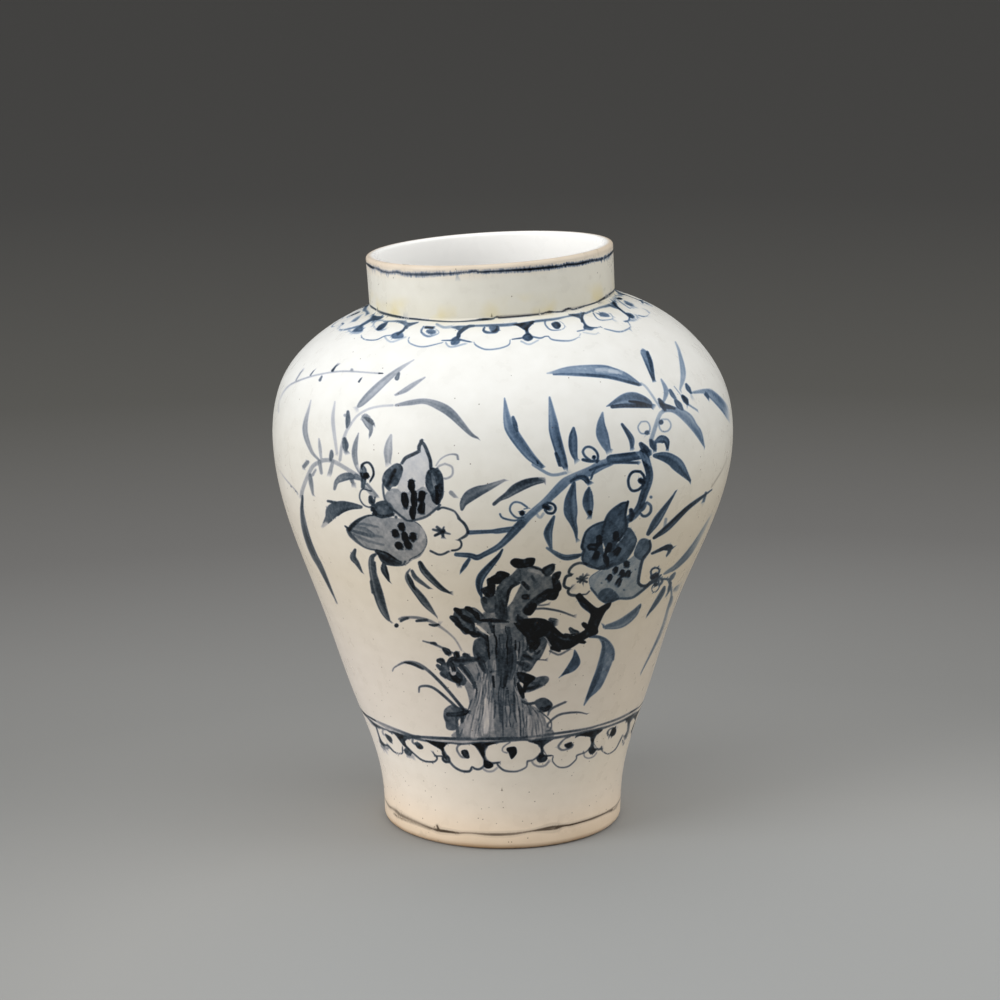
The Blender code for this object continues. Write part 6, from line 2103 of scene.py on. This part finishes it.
def luting_ring(name, radius, height, around=240, across=14):
    """A smeared ridge of slip round the inside of a joint."""
    points, faces = [], []
    for i in range(around):
        angle = 2 * math.pi * i / around
        thick = BEAD_DEPTH * (0.72 + 0.16 * math.sin(5 * angle + 1) + 0.12 * math.sin(13 * angle))
        tall = BEAD_HEIGHT * (0.86 + 0.08 * math.sin(7 * angle + 2) + 0.06 * math.sin(17 * angle))
        for j in range(across):
            turn = 2 * math.pi * j / across
            depth = math.cos(turn) * (thick if math.cos(turn) > 0 else BEAD_BACK)
            reach_in = radius - depth
            up = height + math.sin(turn) * tall / 2
            points.append((reach_in * math.sin(angle), -reach_in * math.cos(angle), up))
            here, beside = i * across, (i + 1) % around * across
            faces.append((here + j, here + (j + 1) % across, beside + (j + 1) % across, beside + j))
    mesh = bpy.data.meshes.new(name)
    mesh.from_pydata(slump(points).tolist(), [], faces)
    mesh.shade_smooth()
    mesh.materials.append(slip)
    ridge = bpy.data.objects.new(name + "_ridge", mesh)
    bpy.context.collection.objects.link(ridge)
    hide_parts(name)
    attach(ridge, "root")
    return ridge


ridges = [luting_ring(name, *seam) for name, seam in SEAMS.items()]
print("luting rings:", ", ".join(ridge.name for ridge in ridges))

# %% [markdown]
# ## Floor and light
#
# The jar stands on pale paper that falls away into shadow behind it. That fall is painted light and
# shade: the paper's tone is graded by its distance from a spot just before the jar and a little to its
# right, so it stays plain from every side and the jar's shadow on the right is lightened. A large soft
# light stands at the left, a weaker one at the right, and white walls all round give the rest. The
# camera and the glaze see the studio's dark backdrop in place of the walls, so the cobalt stays deep.

# %% Floor
# Tones of the paper by distance: a painted pool of light fading into painted shade.
FLOOR_PAINTED_LIGHT = [
    (0.25, "#9c9d9c"),
    (0.38, "#9b9b99"),
    (0.69, "#868684"),
    (1.20, "#6e6d6b"),
    (1.95, "#5c5b57"),
    (3.97, "#51504e"),
]
FLOOR_REACH = 15.0
BRIGHT_SPOT = (-0.14, 0.35, 0.0)
# Matt paper: no gloss to speak of, and a tone that fades smoothly with distance: painted light, brightest at a spot
# before the jar and to its right, which also lightens the jar's shadow there.
paper = bpy.data.materials.new("studio_paper_with_painted_light")
paper.use_nodes = True
tree = paper.node_tree
surface = tree.nodes["Principled BSDF"]
where = add(tree, "ShaderNodeTexCoord").outputs["Object"]
where = add(tree, "ShaderNodeVectorMath", {0: where, 1: BRIGHT_SPOT}, operation="ADD").outputs["Vector"]
away = add(tree, "ShaderNodeVectorMath", {0: where}, operation="LENGTH").outputs["Value"]
farthest = FLOOR_PAINTED_LIGHT[-1][0]
away = add(tree, "ShaderNodeMath", {0: away, 1: 1 / farthest}, operation="MULTIPLY").outputs[0]
paper_painted_light_stops = hexes([(at / farthest, code) for at, code in FLOOR_PAINTED_LIGHT])
paper_painted_light_ramp = add(tree, "ShaderNodeValToRGB", {"Fac": away}, paper_painted_light_stops)
tree.links.new(paper_painted_light_ramp.outputs["Color"], surface.inputs["Base Color"])
surface.inputs["Roughness"].default_value = 0.9
surface.inputs["Specular IOR Level"].default_value = 0.1

floor_mesh = bpy.data.meshes.new("floor")
corners = [(x * FLOOR_REACH, y * FLOOR_REACH, 0) for x, y in ((-1, -1), (1, -1), (1, 1), (-1, 1))]
floor_mesh.from_pydata(corners, [], [(0, 1, 2, 3)])
floor_mesh.materials.append(paper)
floor = bpy.data.objects.new("floor", floor_mesh)
bpy.context.collection.objects.link(floor)
print(f"floor: {2 * FLOOR_REACH:.0f} m wide, {len(FLOOR_PAINTED_LIGHT)} tones")

# %% Lamps and room
AIM = Vector((0, 0, 0.2))
LAMPS = {
    "key_softbox": ((-2.4, -1.45, 1.08), 1.8, 54.0),
    "side_softbox": ((2.5, -0.3, 1.5), 1.8, 24.0),
    "top_softbox": ((-0.1, -0.5, 2.3), 1.8, 9.0),
}
for name, (spot, width, watts) in LAMPS.items():
    lamp_data = bpy.data.lights.new(name, "AREA")
    lamp_data.shape = "SQUARE"
    lamp_data.size = width
    lamp_data.energy = watts
    lamp = bpy.data.objects.new(name, lamp_data)
    lamp.location = spot
    lamp.rotation_euler = (AIM - Vector(spot)).to_track_quat("-Z", "Y").to_euler()
    bpy.context.collection.objects.link(lamp)

room = bpy.data.worlds.new("room")
room.use_nodes = True
tree = room.node_tree
background = tree.nodes["Background"]
rays = add(tree, "ShaderNodeLightPath").outputs
seen = rays["Is Camera Ray"]
for ray in ("Is Glossy Ray", "Is Transmission Ray"):
    seen = add(tree, "ShaderNodeMath", {0: seen, 1: rays[ray]}, operation="MAXIMUM").outputs[0]
walls_white, backdrop_grey = linear("#dadada"), linear("#454442")
lit = add(tree, "ShaderNodeMix", {0: seen, MIX_A: walls_white, MIX_B: backdrop_grey}, **COVERED)
tree.links.new(lit.outputs[MIX_RESULT], background.inputs["Color"])
bpy.context.scene.world = room
bpy.context.scene.view_settings.view_transform = "Standard"
print("lamps:", ", ".join(LAMPS))
